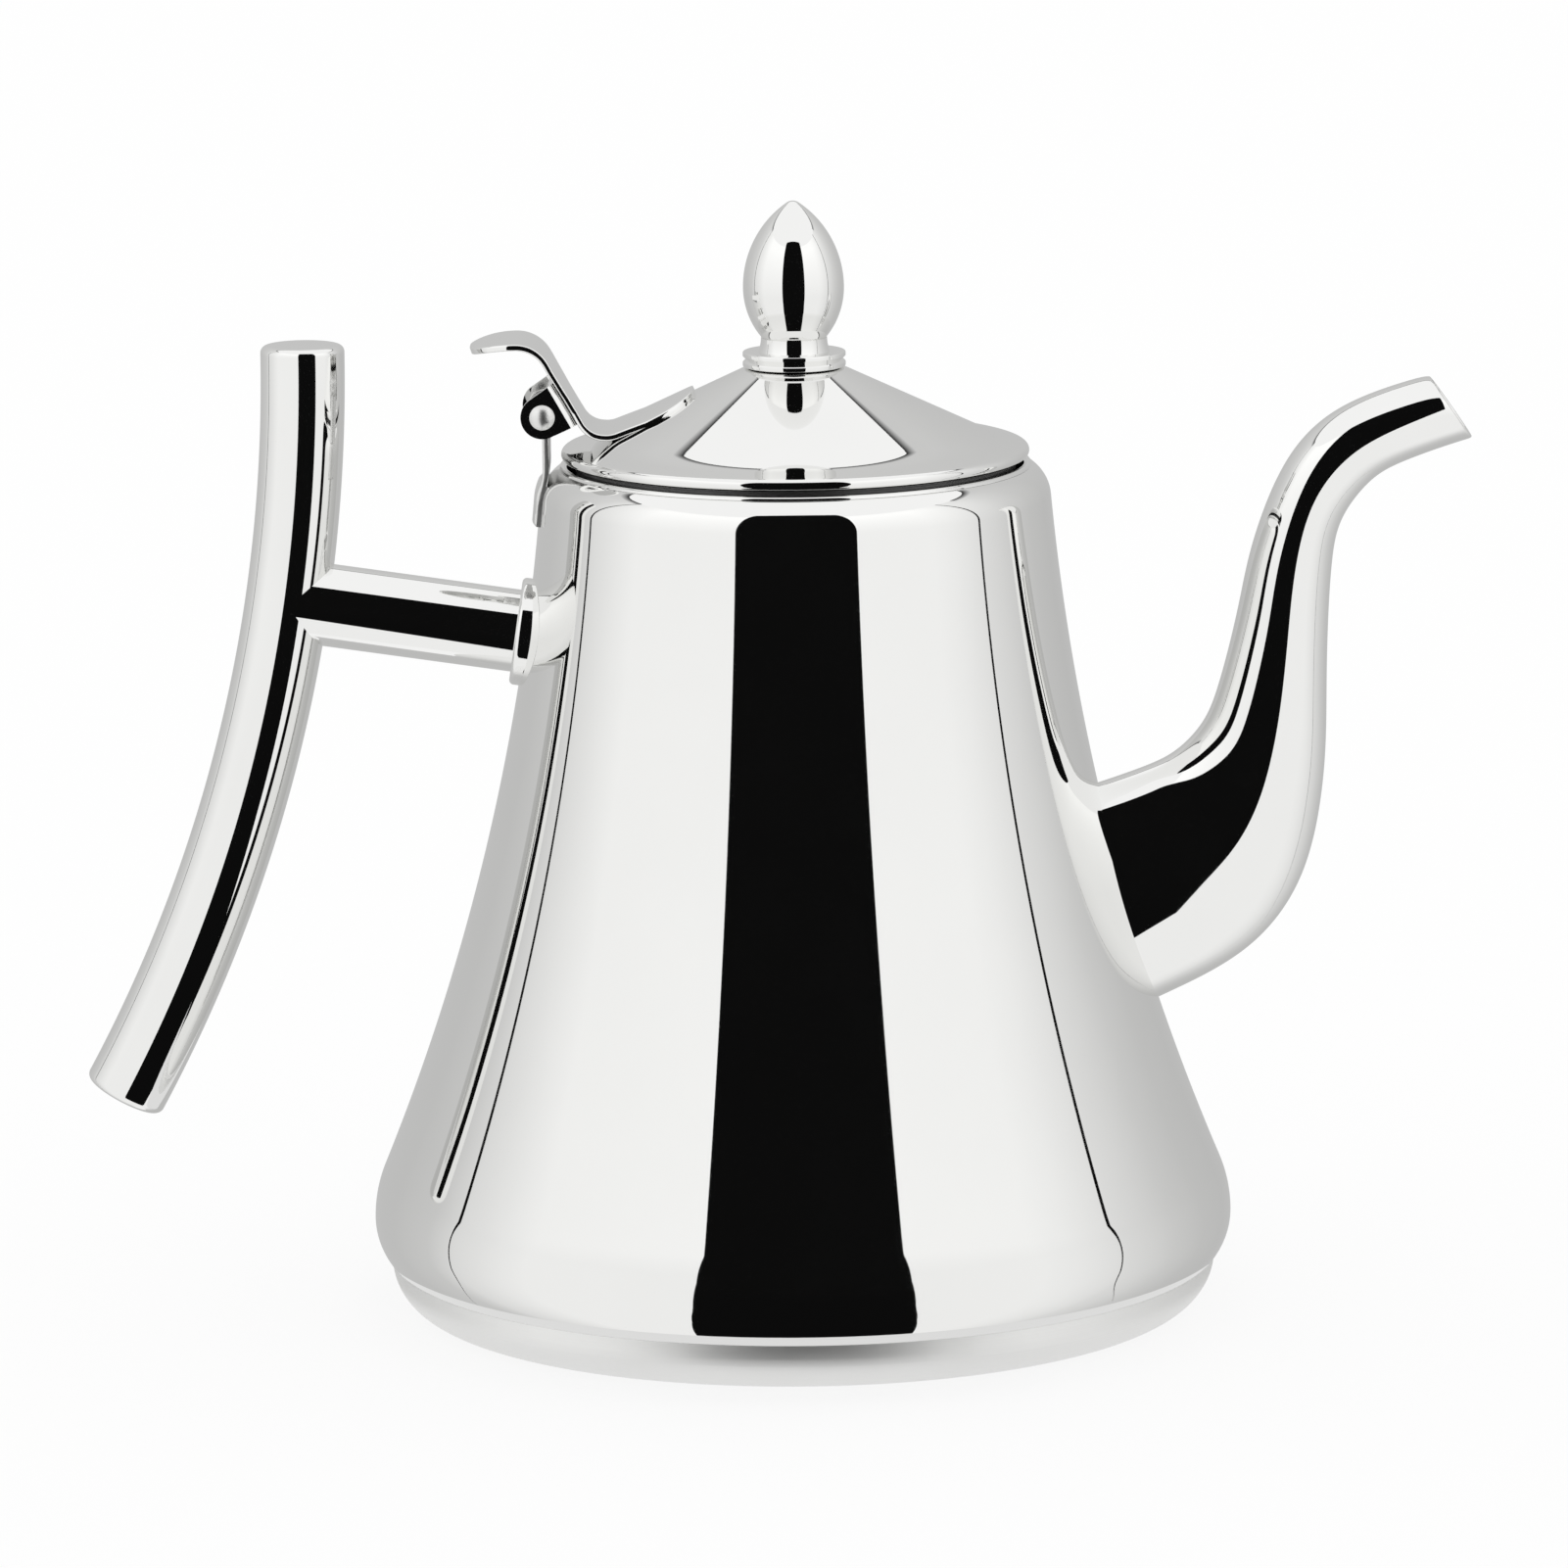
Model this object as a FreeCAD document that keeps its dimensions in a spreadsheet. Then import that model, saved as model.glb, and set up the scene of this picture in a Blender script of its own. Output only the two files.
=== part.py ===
import FreeCAD, Part
import math
import os
import re
import Sketcher

Vector = FreeCAD.Vector

# A gooseneck kettle of polished sheet steel.
# Frame: +Z up, origin at the centre of the base on the table, spout to +X, handle to -X.
# Lengths are in millimetres and angles in degrees.

SIZES = {
    # Body wall, from the crease above the base to the rolled bead of the mouth
    "belly_radius": 82.5,
    "belly_height": 17.9,
    "crease_inset": 3.2,
    "base_height": 9.8,
    "belly_bend": 23.8,
    "neck_radius": 48.67,
    "neck_height": 157.3,
    "neck_lean": 5.1,
    "shoulder_bend": 7.5,
    "shoulder_turn": 65.0,
    "body_wall": 0.8,
    "bead_wire": 0.8,
    # Base: outer cap, heat-spreading core and inner pan
    "cap_wall": 0.7,
    "core_thickness": 4.1,
    "core_clearance": 0.5,
    "pan_wall": 0.6,
    # Strainer holes in the wall behind the spout
    "strainer_hole": 4.0,
    "strainer_pitch": 5.4,
    # Spout: four corners of its middle line, and the depth and width of its section there
    "spout_root_top": 101.3,
    "spout_root_bottom": 59.4,
    "spout_knee_out": 25.0,
    "spout_knee_rise": 8.0,
    "spout_neck_rise": 77.7,
    "spout_neck_shift": 10.6,
    "spout_tip_out": 26.4,
    "spout_tip_rise": 6.9,
    "spout_fan": 60.3,
    "spout_tip_cut": 55.2,
    "spout_crook_depth": 17.7,
    "spout_tip_depth": 14.1,
    "spout_root_width": 21.5,
    "spout_neck_width": 16.6,
    "spout_tip_width": 14.0,
    "knee_upper_bend": 21.1,
    "knee_lower_bend": 41.9,
    "crook_upper_bend": 35.2,
    "crook_lower_bend": 21.0,
    "spout_wall": 0.8,
    # Handle: bent grip tube, its end caps, the arm and the flange on the wall
    "grip_diameter": 16.0,
    "grip_wall": 1.2,
    "grip_reach": 93.5,
    "grip_over": 29.9,
    "grip_bend": 295.0,
    "grip_turn": 28.7,
    "grip_cap_thickness": 2.0,
    "grip_cap_round": 1.4,
    "grip_cap_spigot": 4.0,
    "spigot_clearance": 0.05,
    "arm_diameter": 15.8,
    "arm_wall": 1.2,
    "arm_drop": 25.9,
    "arm_rise": 8.5,
    "flange_diameter": 20.6,
    "flange_thickness": 2.0,
    "flange_round": 0.9,
    # Lid
    "lid_wall": 0.8,
    "lid_gap": 0.5,
    "lid_overhang": 0.5,
    "lid_rim_wire": 1.3,
    "brim_slope": 14.0,
    "cone_slope": 25.5,
    "brim_width": 5.7,
    "brim_bend": 25.0,
    "lid_flat": 9.0,
    "skirt_clearance": 1.4,
    "skirt_wall": 0.6,
    "skirt_depth": 4.4,
    # Hinge
    "hinge_back": 3.7,
    "hinge_rise": 10.2,
    "pin_diameter": 3.0,
    "pin_clearance": 0.05,
    "ear_clearance": 0.02,
    "rivet_head": 4.8,
    "rivet_dome": 1.1,
    "eye_wall": 1.3,
    "bracket_plate": 1.3,
    "bracket_width": 15.6,
    "bracket_foot": 1.2,
    "bracket_foot_height": 4.5,
    "bracket_foot_top": 3.2,
    "ear_radius": 4.1,
    "ear_plate": 1.2,
    "ear_fold": 1.1,
    "ear_gap": 0.5,
    "ear_reach_up": 4.6,
    "ear_reach_down": 4.6,
    # Thumb lever: tongue on the lid, rising strip and curled thumb rest
    "lever_plate": 1.2,
    "lever_width": 20.6,
    "lever_offset": 5.1,
    "lever_slope": 60.5,
    "lever_bend": 4.5,
    "lever_curl": 6.0,
    "lever_droop": 25.0,
    "lever_rise": 12.9,
    "lever_reach": 13.3,
    "lever_round": 8.0,
    "tongue_end": 18.9,
    "tongue_round": 9.0,
    "tongue_sink": 0.25,
    # Knob
    "collar_radius": 9.8,
    "collar_thickness": 2.9,
    "collar_groove": 0.6,
    "ferrule_radius": 6.3,
    "ferrule_flare": 0.5,
    "ferrule_height": 2.6,
    "finial_base": 6.1,
    "finial_radius": 9.6,
    "finial_widest": 9.6,
    "finial_height": 26.1,
    "finial_tip": 2.0,
    "screw_diameter": 4.0,
    "screw_clearance": 0.1,
    "screw_depth": 9.0,
    "screw_head": 7.6,
    "screw_head_height": 2.6,
    "screw_slot": 1.2,
    "washer_radius": 6.0,
    "washer_thickness": 1.0,
}

# Places worked out from the sizes, in the order in which they need each other.
WORKED = {
    # Lower corner arc from the crease to the belly
    "crease_radius": "belly_radius - crease_inset",
    "corner_drop": "belly_height - base_height",
    "corner_bend": "(crease_inset^2 + corner_drop^2) / (2 * crease_inset)",
    "corner_x": "belly_radius - corner_bend",
    # Arc above the belly, and the long hollow arc that is tangent to it and to the neck
    "bend_x": "belly_radius - belly_bend",
    "reach_x": "neck_radius - bend_x",
    "reach_z": "neck_height - belly_height",
    "lean_part": "reach_x * cos(neck_lean) + reach_z * sin(neck_lean)",
    "flare_bend": "(reach_x^2 + reach_z^2 - belly_bend^2) / (2 * (belly_bend - lean_part))",
    "flare_x": "neck_radius + flare_bend * cos(neck_lean)",
    "flare_z": "neck_height + flare_bend * sin(neck_lean)",
    "turn_x": "(flare_x - bend_x) / (flare_bend + belly_bend)",
    "turn_z": "(flare_z - belly_height) / (flare_bend + belly_bend)",
    # Shoulder arc and the bead at its end
    "shoulder_x": "neck_radius - shoulder_bend * cos(neck_lean)",
    "shoulder_z": "neck_height - shoulder_bend * sin(neck_lean)",
    "bead_x": "shoulder_x + (shoulder_bend - body_wall / 2) * cos(shoulder_turn)",
    "bead_z": "shoulder_z + (shoulder_bend - body_wall / 2) * sin(shoulder_turn)",
    "bead_top": "bead_z + bead_wire",
    "mouth_radius": "bead_x - bead_wire",
    # Base
    "cap_flat": "crease_radius - base_height",
    "pan_bottom": "cap_wall + core_thickness",
    "pan_rim": "crease_radius - cap_wall",
    "pan_bend": "base_height - pan_bottom",
    # Wall radius at the spout root and at the arm
    "arm_height": "neck_height - arm_drop",
    "root_top_x": "flare_x - sqrt(flare_bend^2 - (spout_root_top - flare_z)^2)",
    "root_bottom_x": "flare_x - sqrt(flare_bend^2 - (spout_root_bottom - flare_z)^2)",
    "arm_wall_x": "flare_x - sqrt(flare_bend^2 - (arm_height - flare_z)^2)",
    # Strainer: holes on the oval inside the spout root
    "strainer_z": "(spout_root_top + spout_root_bottom) / 2",
    # Grip arc, and the arm's length from the flange to the middle of the grip
    "grip_x": "-grip_reach - grip_bend",
    "grip_z": "neck_height + grip_over - grip_cap_thickness",
    "grip_end_x": "grip_x + grip_bend * cos(grip_turn)",
    "grip_end_z": "grip_z - grip_bend * sin(grip_turn)",
    "arm_x": "-arm_wall_x - flange_thickness * cos(arm_rise)",
    "arm_z": "arm_height + flange_thickness * sin(arm_rise)",
    "arm_along": "(arm_x - grip_x) * cos(arm_rise) - (arm_z - grip_z) * sin(arm_rise)",
    "arm_off": "(arm_x - grip_x)^2 + (arm_z - grip_z)^2 - grip_bend^2",
    "arm_length": "arm_along - sqrt(arm_along^2 - arm_off)",
    # Lid outline: rim wire, brim, rounded foot of the cone, cone and flat top
    "rim_radius": "bead_x + lid_overhang",
    "rim_x": "rim_radius - lid_rim_wire",
    "rim_z": "bead_top + lid_gap + lid_rim_wire",
    "brim_x": "rim_x + lid_rim_wire * sin(brim_slope)",
    "brim_z": "rim_z + lid_rim_wire * cos(brim_slope)",
    "cone_foot": "brim_x - brim_width",
    "foot_z": "brim_z + brim_width * tan(brim_slope)",
    "foot_run": "brim_bend * tan((cone_slope - brim_slope) / 2)",
    "lid_top": "foot_z + (cone_foot - lid_flat) * tan(cone_slope)",
    "lid_under": "lid_top - lid_wall",
    "skirt_radius": "mouth_radius - skirt_clearance",
    "skirt_bottom": "bead_top - skirt_depth",
    "skirt_top_z": "brim_z - lid_wall / cos(brim_slope) + (brim_x - skirt_radius) * tan(brim_slope)",
    # Hinge pin, and the foot of the square from the pin to the lever
    "pin_x": "-bead_x - hinge_back",
    "pin_z": "bead_top + hinge_rise",
    "pin_radius": "pin_diameter / 2",
    "eye_radius": "pin_radius + pin_clearance + eye_wall",
    "ear_span": "bracket_width + 2 * (ear_gap + ear_plate)",
    "web_x": "pin_x + lever_offset * sin(lever_slope)",
    "web_z": "pin_z + lever_offset * cos(lever_slope)",
    # Corners where the lower face of the tongue, of the rising strip and of the curl meet
    "rise_level": "lever_offset + pin_x * sin(lever_slope) + pin_z * cos(lever_slope)",
    "tongue_level": "cone_foot * sin(cone_slope) + foot_z * cos(cone_slope) - tongue_sink",
    "corner_sine": "sin(lever_slope + cone_slope)",
    "low_x": "(rise_level * cos(cone_slope) - tongue_level * cos(lever_slope)) / corner_sine",
    "low_z": "(tongue_level * sin(lever_slope) + rise_level * sin(cone_slope)) / corner_sine",
    "low_run": "(lever_bend + lever_plate) * tan((lever_slope + cone_slope) / 2)",
    "curl_z": "pin_z + lever_rise",
    "high_x": "(rise_level - curl_z * cos(lever_slope)) / sin(lever_slope)",
    "high_run": "lever_curl * tan(lever_slope / 2)",
    "rest_x": "high_x - high_run",
    "lever_tip_x": "pin_x - lever_reach",
    "droop_sine": "(rest_x - lever_tip_x) / lever_droop",
    "droop_cosine": "sqrt(1 - droop_sine^2)",
    "lever_tip_z": "curl_z - lever_droop * (1 - droop_cosine)",
    "lever_far_x": "lever_tip_x - lever_plate",
    # Knob stack
    "collar_top": "lid_top + collar_thickness",
    "finial_z": "collar_top + ferrule_height",
    "ferrule_foot": "ferrule_radius + ferrule_flare",
    "finial_side": "finial_radius - finial_base",
    "finial_lower": "(finial_side^2 + finial_widest^2) / (2 * finial_side)",
    "tip_rise": "finial_height - finial_tip - finial_widest",
    "tip_room": "2 * (finial_radius - finial_tip)",
    "finial_upper": "(finial_radius^2 + tip_rise^2 - finial_tip^2) / tip_room",
    "tip_x": "(finial_upper - finial_radius) / (finial_upper - finial_tip) * finial_tip",
    "tip_z": "finial_height - finial_tip + tip_rise / (finial_upper - finial_tip) * finial_tip",
    "screw_bore": "screw_diameter / 2 + screw_clearance",
    "washer_bottom": "lid_under - washer_thickness",
}

NAME = re.compile(r"[a-z_]+[a-z0-9_]*")
NEAR = 0.001


def bound(text):
    """Return an expression in which every named size carries its sheet's name."""
    def with_sheet(match):
        word = match.group(0)
        if word in SIZES:
            return "Sizes." + word
        if word in WORKED:
            return "Worked." + word
        return word
    return NAME.sub(with_sheet, str(text))


def own(text):
    """Return an expression for the sheet of worked places, which reads its own cells bare."""
    return bound(text).replace("Worked.", "")


def fill_sheet(name, cells):
    sheet = doc.addObject("Spreadsheet::Sheet", name)
    for row, (alias, content) in enumerate(cells.items(), start=1):
        sheet.set("A%d" % row, alias)
        sheet.set("B%d" % row, content)
        sheet.setAlias("B%d" % row, alias)
    doc.recompute()
    return sheet


doc = FreeCAD.newDocument("Kettle")
sizes = fill_sheet("Sizes", {alias: str(value) for alias, value in SIZES.items()})
worked = fill_sheet("Worked", {alias: "=" + own(text) for alias, text in WORKED.items()})


def size(alias):
    """Return the present value of a size or of a worked place."""
    sheet = sizes if alias in SIZES else worked
    return float(sheet.get(alias))


# Outlines are runs of corners with the edges between them.
# An edge is None where it is straight, or (radius, side) where it is an arc.
# The side says on which hand the arc's centre lies when one walks along the run.

def run(corners, edges):
    return list(corners), list(edges)


def backwards(walk):
    corners, edges = walk
    other_hand = {"left": "right", "right": "left"}
    turned = [edge and (edge[0], other_hand[edge[1]]) for edge in edges]
    return corners[::-1], turned[::-1]


def closed(*walks):
    """Join runs end to end with straight edges into one closed outline."""
    corners = []
    edges = []
    for walk in walks:
        corners += walk[0]
        edges += walk[1] + [None]
    return corners, edges


def straight(*corners):
    return run(corners, [None] * (len(corners) - 1))


def arc_between(start, end, radius, side):
    middle = (start + end) * 0.5
    chord = end - start
    hand = 1 if side == "left" else -1
    across = Vector(-chord.y, chord.x, 0).normalize() * hand
    centre = middle + across * math.sqrt(max(radius ** 2 - chord.Length ** 2 / 4, 0))
    circle = Part.Circle(centre, Vector(0, 0, 1), radius)
    first, last = (start, end) if side == "left" else (end, start)
    return Part.ArcOfCircle(circle, circle.parameter(first), circle.parameter(last))


def new_sketch(body, name, plane):
    sketch = body.newObject("Sketcher::SketchObject", name)
    support = [item for item in body.Origin.OriginFeatures if item.Role == plane][0]
    sketch.AttachmentSupport = [(support, "")]
    sketch.MapMode = "FlatFace"
    return sketch


def pin_point(sketch, geometry, end, place):
    """Tie one point of the sketch to its two coordinates."""
    for kind, text in zip(("DistanceX", "DistanceY"), place):
        value = float(sketch.evalExpression(bound(text)))
        index = sketch.addConstraint(Sketcher.Constraint(kind, -1, 1, geometry, end, value))
        sketch.setExpression("Constraints[%d]" % index, bound(text))


def set_radius(sketch, geometry, text):
    value = float(sketch.evalExpression(bound(text)))
    index = sketch.addConstraint(Sketcher.Constraint("Radius", geometry, value))
    sketch.setExpression("Constraints[%d]" % index, bound(text))


def outline_sketch(body, name, plane, outline):
    sketch = new_sketch(body, name, plane)
    corners, edges = outline
    points = []
    for place in corners:
        across, up = [float(sketch.evalExpression(bound(text))) for text in place]
        points.append(Vector(across, up, 0))
    ends = []
    for number, edge in enumerate(edges):
        start = points[number]
        end = points[(number + 1) % len(points)]
        if edge is None:
            geometry = sketch.addGeometry(Part.LineSegment(start, end), False)
            ends.append((geometry, 1, 2))
        else:
            radius = float(sketch.evalExpression(bound(edge[0])))
            geometry = sketch.addGeometry(arc_between(start, end, radius, edge[1]), False)
            ends.append((geometry, 1, 2) if edge[1] == "left" else (geometry, 2, 1))
    for number, (geometry, first, last) in enumerate(ends):
        following = ends[(number + 1) % len(ends)]
        link = Sketcher.Constraint("Coincident", geometry, last, following[0], following[1])
        sketch.addConstraint(link)
        pin_point(sketch, geometry, first, corners[number])
        if edges[number]:
            set_radius(sketch, geometry, edges[number][0])
    return sketch


def new_body(name):
    return doc.addObject("PartDesign::Body", name)


def revolve(body, name, outline):
    sketch = outline_sketch(body, name + "_outline", "XZ_Plane", outline)
    feature = body.newObject("PartDesign::Revolution", name)
    feature.Profile = sketch
    feature.ReferenceAxis = (sketch, ["V_Axis"])
    feature.Angle = 360
    return feature


def circle_sketch(body, name, plane, circles):
    """Make a sketch of circles, each given by its centre and its radius."""
    sketch = new_sketch(body, name, plane)
    for centre, radius in circles:
        across, up = [float(sketch.evalExpression(bound(text))) for text in centre]
        start_radius = float(sketch.evalExpression(bound(radius)))
        ring = Part.Circle(Vector(across, up, 0), Vector(0, 0, 1), start_radius)
        geometry = sketch.addGeometry(ring, False)
        pin_point(sketch, geometry, 3, centre)
        set_radius(sketch, geometry, radius)
    return sketch


def revolve_ring(body, name, centre, radius):
    """Add a ring of round section to a body."""
    sketch = circle_sketch(body, name + "_outline", "XZ_Plane", [(centre, radius)])
    feature = body.newObject("PartDesign::Revolution", name)
    feature.Profile = sketch
    feature.ReferenceAxis = (sketch, ["V_Axis"])
    feature.Angle = 360
    return feature


def symmetric(body, kind, name, sketch, width):
    """Pad or pocket a sketch to both sides of its plane."""
    feature = body.newObject("PartDesign::" + kind, name)
    feature.Profile = sketch
    feature.SideType = "Symmetric"
    feature.setExpression("Length", bound(width))
    return feature


def place(item, across, up, axis=Vector(0, 0, 1), angle="0"):
    """Put an item in the plane of symmetry, turned about an axis."""
    # The axis is set with any turn that isn't zero, and the bound angle then takes over.
    item.Placement = FreeCAD.Placement(Vector(0, 0, 0), FreeCAD.Rotation(axis, 90))
    item.setExpression("Placement.Base.x", bound(across))
    item.setExpression("Placement.Base.z", bound(up))
    item.setExpression("Placement.Rotation.Angle", bound(angle))


def primitive(kind, name, **dimensions):
    item = doc.addObject("Part::" + kind, name)
    for key, text in dimensions.items():
        item.setExpression(key, bound(text))
    return item


def cross_rod(name, radius, length, across, up):
    """Make a round rod along Y, centred on the plane of symmetry."""
    rod = primitive("Cylinder", name, Radius=radius, Height=length)
    place(rod, across, up, Vector(1, 0, 0), "-90")
    rod.setExpression("Placement.Base.y", bound("-(%s) / 2" % length))
    return rod


def cut(name, base, tool):
    item = doc.addObject("Part::Cut", name)
    item.Base = base
    item.Tool = tool
    return item


def common(name, base, tool):
    item = doc.addObject("Part::Common", name)
    item.Base = base
    item.Tool = tool
    return item


def fuse(name, shapes):
    item = doc.addObject("Part::MultiFuse", name)
    item.Shapes = shapes
    item.Refine = True
    return item


# Body wall

def wall_run(inset):
    """Walk up the wall's outline at a depth below its outer face."""
    corners = [
        ("corner_x + sqrt((corner_bend - %s)^2 - corner_drop^2)" % inset, "base_height"),
        ("belly_radius - %s" % inset, "belly_height"),
        ("bend_x + (belly_bend - %s) * turn_x" % inset,
         "belly_height + (belly_bend - %s) * turn_z" % inset),
        ("flare_x - (flare_bend + %s) * cos(neck_lean)" % inset,
         "flare_z - (flare_bend + %s) * sin(neck_lean)" % inset),
        ("shoulder_x + (shoulder_bend - %s) * cos(shoulder_turn)" % inset,
         "shoulder_z + (shoulder_bend - %s) * sin(shoulder_turn)" % inset),
    ]
    edges = [
        ("corner_bend - %s" % inset, "left"),
        ("belly_bend - %s" % inset, "left"),
        ("flare_bend + %s" % inset, "right"),
        ("shoulder_bend - %s" % inset, "left"),
    ]
    return run(corners, edges)


def wall_solid(name, inset):
    """Make the solid inside the wall's outline, which trims what meets the wall."""
    wall = wall_run(inset)
    body = new_body(name)
    top = ("0", wall[0][-1][1])
    bottom = ("0", wall[0][0][1])
    revolve(body, name + "_turned", closed(wall, straight(top, bottom)))
    return body


STRAINER_ROWS = {-1: 4, 0: 5, 1: 4}


def make_body_shell():
    body = new_body("body_shell")
    revolve(body, "wall", closed(wall_run("0"), backwards(wall_run("body_wall"))))
    revolve_ring(body, "mouth_bead", ("bead_x", "bead_z"), "bead_wire")
    holes = []
    for column, rows in STRAINER_ROWS.items():
        for row in range(rows):
            step = row - (rows - 1) / 2
            centre = ("%d * strainer_pitch" % column, "strainer_z + %s * strainer_pitch" % step)
            holes.append((centre, "strainer_hole / 2"))
    sketch = circle_sketch(body, "strainer_outline", "YZ_Plane", holes)
    strainer = body.newObject("PartDesign::Pocket", "strainer")
    strainer.Profile = sketch
    strainer.Reversed = True
    strainer.setExpression("Length", bound("belly_radius"))
    return body


# Base

def make_base_cap():
    body = new_body("base_cap")
    outer = run([("0", "0"), ("cap_flat", "0"), ("crease_radius", "base_height")],
                [None, ("base_height", "left")])
    inner = run([("0", "cap_wall"), ("cap_flat", "cap_wall"), ("pan_rim", "base_height")],
                [None, ("base_height - cap_wall", "left")])
    revolve(body, "cap", closed(outer, backwards(inner)))
    return body


def make_base_core():
    core = primitive("Cylinder", "base_core",
                     Radius="cap_flat - core_clearance", Height="core_thickness")
    place(core, "0", "cap_wall")
    return core


def make_bottom_pan():
    body = new_body("bottom_pan")
    flat = "pan_rim - pan_bend"
    outer = run([("0", "pan_bottom"), (flat, "pan_bottom"), ("pan_rim", "base_height")],
                [None, ("pan_bend", "left")])
    inner = run([("0", "pan_bottom + pan_wall"), (flat, "pan_bottom + pan_wall"),
                 ("pan_rim - pan_wall", "base_height")],
                [None, ("pan_bend - pan_wall", "left")])
    revolve(body, "pan", closed(outer, backwards(inner)))
    return body


# Spout

ARC_STEPS = 3
BEND_SHARE = 0.95


def rounded(before, corner, after, bend):
    """Return points along the rounding of one corner of an edge.

    The bend is as large as asked, or as its straight runs leave room for.
    """
    back = before - corner
    onward = after - corner
    half = back.getAngle(onward) / 2
    room = BEND_SHARE * min(back.Length, onward.Length)
    tangent = min(bend / math.tan(half), room)
    radius = tangent * math.tan(half)
    back.normalize()
    onward.normalize()
    centre = corner + (back + onward).normalize() * (radius / math.sin(half))
    first = corner + back * tangent - centre
    last = corner + onward * tangent - centre
    turn = first.getAngle(last)
    points = []
    for step in range(ARC_STEPS + 1):
        share = step / ARC_STEPS
        blend = first * math.sin((1 - share) * turn) + last * math.sin(share * turn)
        points.append(centre + blend * (1 / math.sin(turn)))
    return points


def bent_edge(corners, knee_bend, crook_bend):
    """Return the stations along an edge: root, knee, middle of the neck, crook and tip."""
    root, knee, crook, tip = corners
    middle = (knee + crook) * 0.5
    low = rounded(root, knee, middle, knee_bend)
    high = rounded(middle, crook, tip, crook_bend)
    return [root] + low + [(low[-1] + high[0]) * 0.5] + high + [tip]


def spout_corners():
    """Return the four upper and the four lower corners of the spout's side view."""
    def along(angle, length):
        turn = math.radians(angle)
        return Vector(-math.cos(turn), 0, math.sin(turn)) * length

    root_top = Vector(size("root_top_x"), 0, size("spout_root_top"))
    root_bottom = Vector(size("root_bottom_x"), 0, size("spout_root_bottom"))
    root = (root_top + root_bottom) * 0.5
    knee = root + Vector(size("spout_knee_out"), 0, size("spout_knee_rise"))
    crook = knee + Vector(size("spout_neck_shift"), 0, size("spout_neck_rise"))
    tip = crook + Vector(size("spout_tip_out"), 0, size("spout_tip_rise"))
    knee_half = along(size("spout_fan"), (root_top - root_bottom).Length / 2)
    crook_half = along(size("spout_fan"), size("spout_crook_depth") / 2)
    tip_half = along(size("spout_tip_cut"), size("spout_tip_depth") / 2)
    upper = [root_top, knee + knee_half, crook + crook_half, tip + tip_half]
    lower = [root_bottom, knee - knee_half, crook - crook_half, tip - tip_half]
    return upper, lower


def station_widths():
    """Return the spout's width at each station: even at the root, then tapering to the tip."""
    root = size("spout_root_width")
    neck = size("spout_neck_width")
    tip = size("spout_tip_width")
    steps = ARC_STEPS + 1
    widths = [root]
    widths += [root + (neck - root) * step / steps for step in range(steps + 1)]
    widths += [neck + (tip - neck) * step / (steps + 1) for step in range(1, steps + 2)]
    return widths


# Control points of an oval: shares of its half depth and half width, and their weights
SIDE_WEIGHT = math.sqrt(0.5)
OVAL = [(1, 0, 1), (1, 1, SIDE_WEIGHT), (0, 1, 1), (-1, 1, SIDE_WEIGHT), (-1, 0, 1),
        (-1, -1, SIDE_WEIGHT), (0, -1, 1), (1, -1, SIDE_WEIGHT), (1, 0, 1)]
OVAL_KNOTS = [0, 1, 2, 3, 4]
OVAL_REPEATS = [3, 2, 2, 2, 3]


def spout_surface(inset):
    """Return the smooth surface through the spout's oval sections, or through its bore's."""
    upper, lower = spout_corners()
    behind = size("spout_root_width")
    upper[0] += (upper[0] - upper[1]).normalize() * behind
    lower[0] += (lower[0] - lower[1]).normalize() * behind
    tops = bent_edge(upper, size("knee_upper_bend"), size("crook_upper_bend"))
    bottoms = bent_edge(lower, size("knee_lower_bend"), size("crook_lower_bend"))
    middles = [(top + bottom) * 0.5 for top, bottom in zip(tops, bottoms)]
    marks = [0.0]
    for before, after in zip(middles, middles[1:]):
        marks.append(marks[-1] + (after - before).Length)
    lines = []
    for deep, wide, weight in OVAL:
        points = []
        for top, middle, width in zip(tops, middles, station_widths()):
            half = top - middle
            half *= deep * (1 - inset / half.Length)
            points.append(middle + half + Vector(0, wide * (width / 2 - inset), 0))
        line = Part.BSplineCurve()
        line.interpolate(Points=points, Parameters=marks)
        lines.append(line)
    poles = list(zip(*[line.getPoles() for line in lines]))
    weights = [[weight for deep, wide, weight in OVAL]] * len(poles)
    surface = Part.BSplineSurface()
    surface.buildFromPolesMultsKnots(poles, lines[0].getMultiplicities(), OVAL_REPEATS,
                                     lines[0].getKnots(), OVAL_KNOTS, False, False,
                                     lines[0].Degree, 2, weights)
    return surface


def make_spout(wall):
    skins = [spout_surface(0), spout_surface(size("spout_wall"))]
    faces = [skin.toShape() for skin in skins]
    for end in (0, 1):
        rings = [Part.Wire(skin.uIso(skin.bounds()[end]).toShape()) for skin in skins]
        faces.append(Part.makeFace(rings, "Part::FaceMakerBullseye"))
    shell = Part.Shell(faces)
    shell.sewShape()
    tube = doc.addObject("Part::Feature", "spout_tube")
    tube.Shape = Part.makeSolid(shell)
    return cut("spout", tube, wall)


# Handle

def grip_solid(name, radius):
    bar = primitive("Torus", name, Radius1="grip_bend", Radius2=radius, Angle3="grip_turn")
    place(bar, "grip_x", "grip_z", Vector(1, 0, 0), "-90")
    return bar


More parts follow.
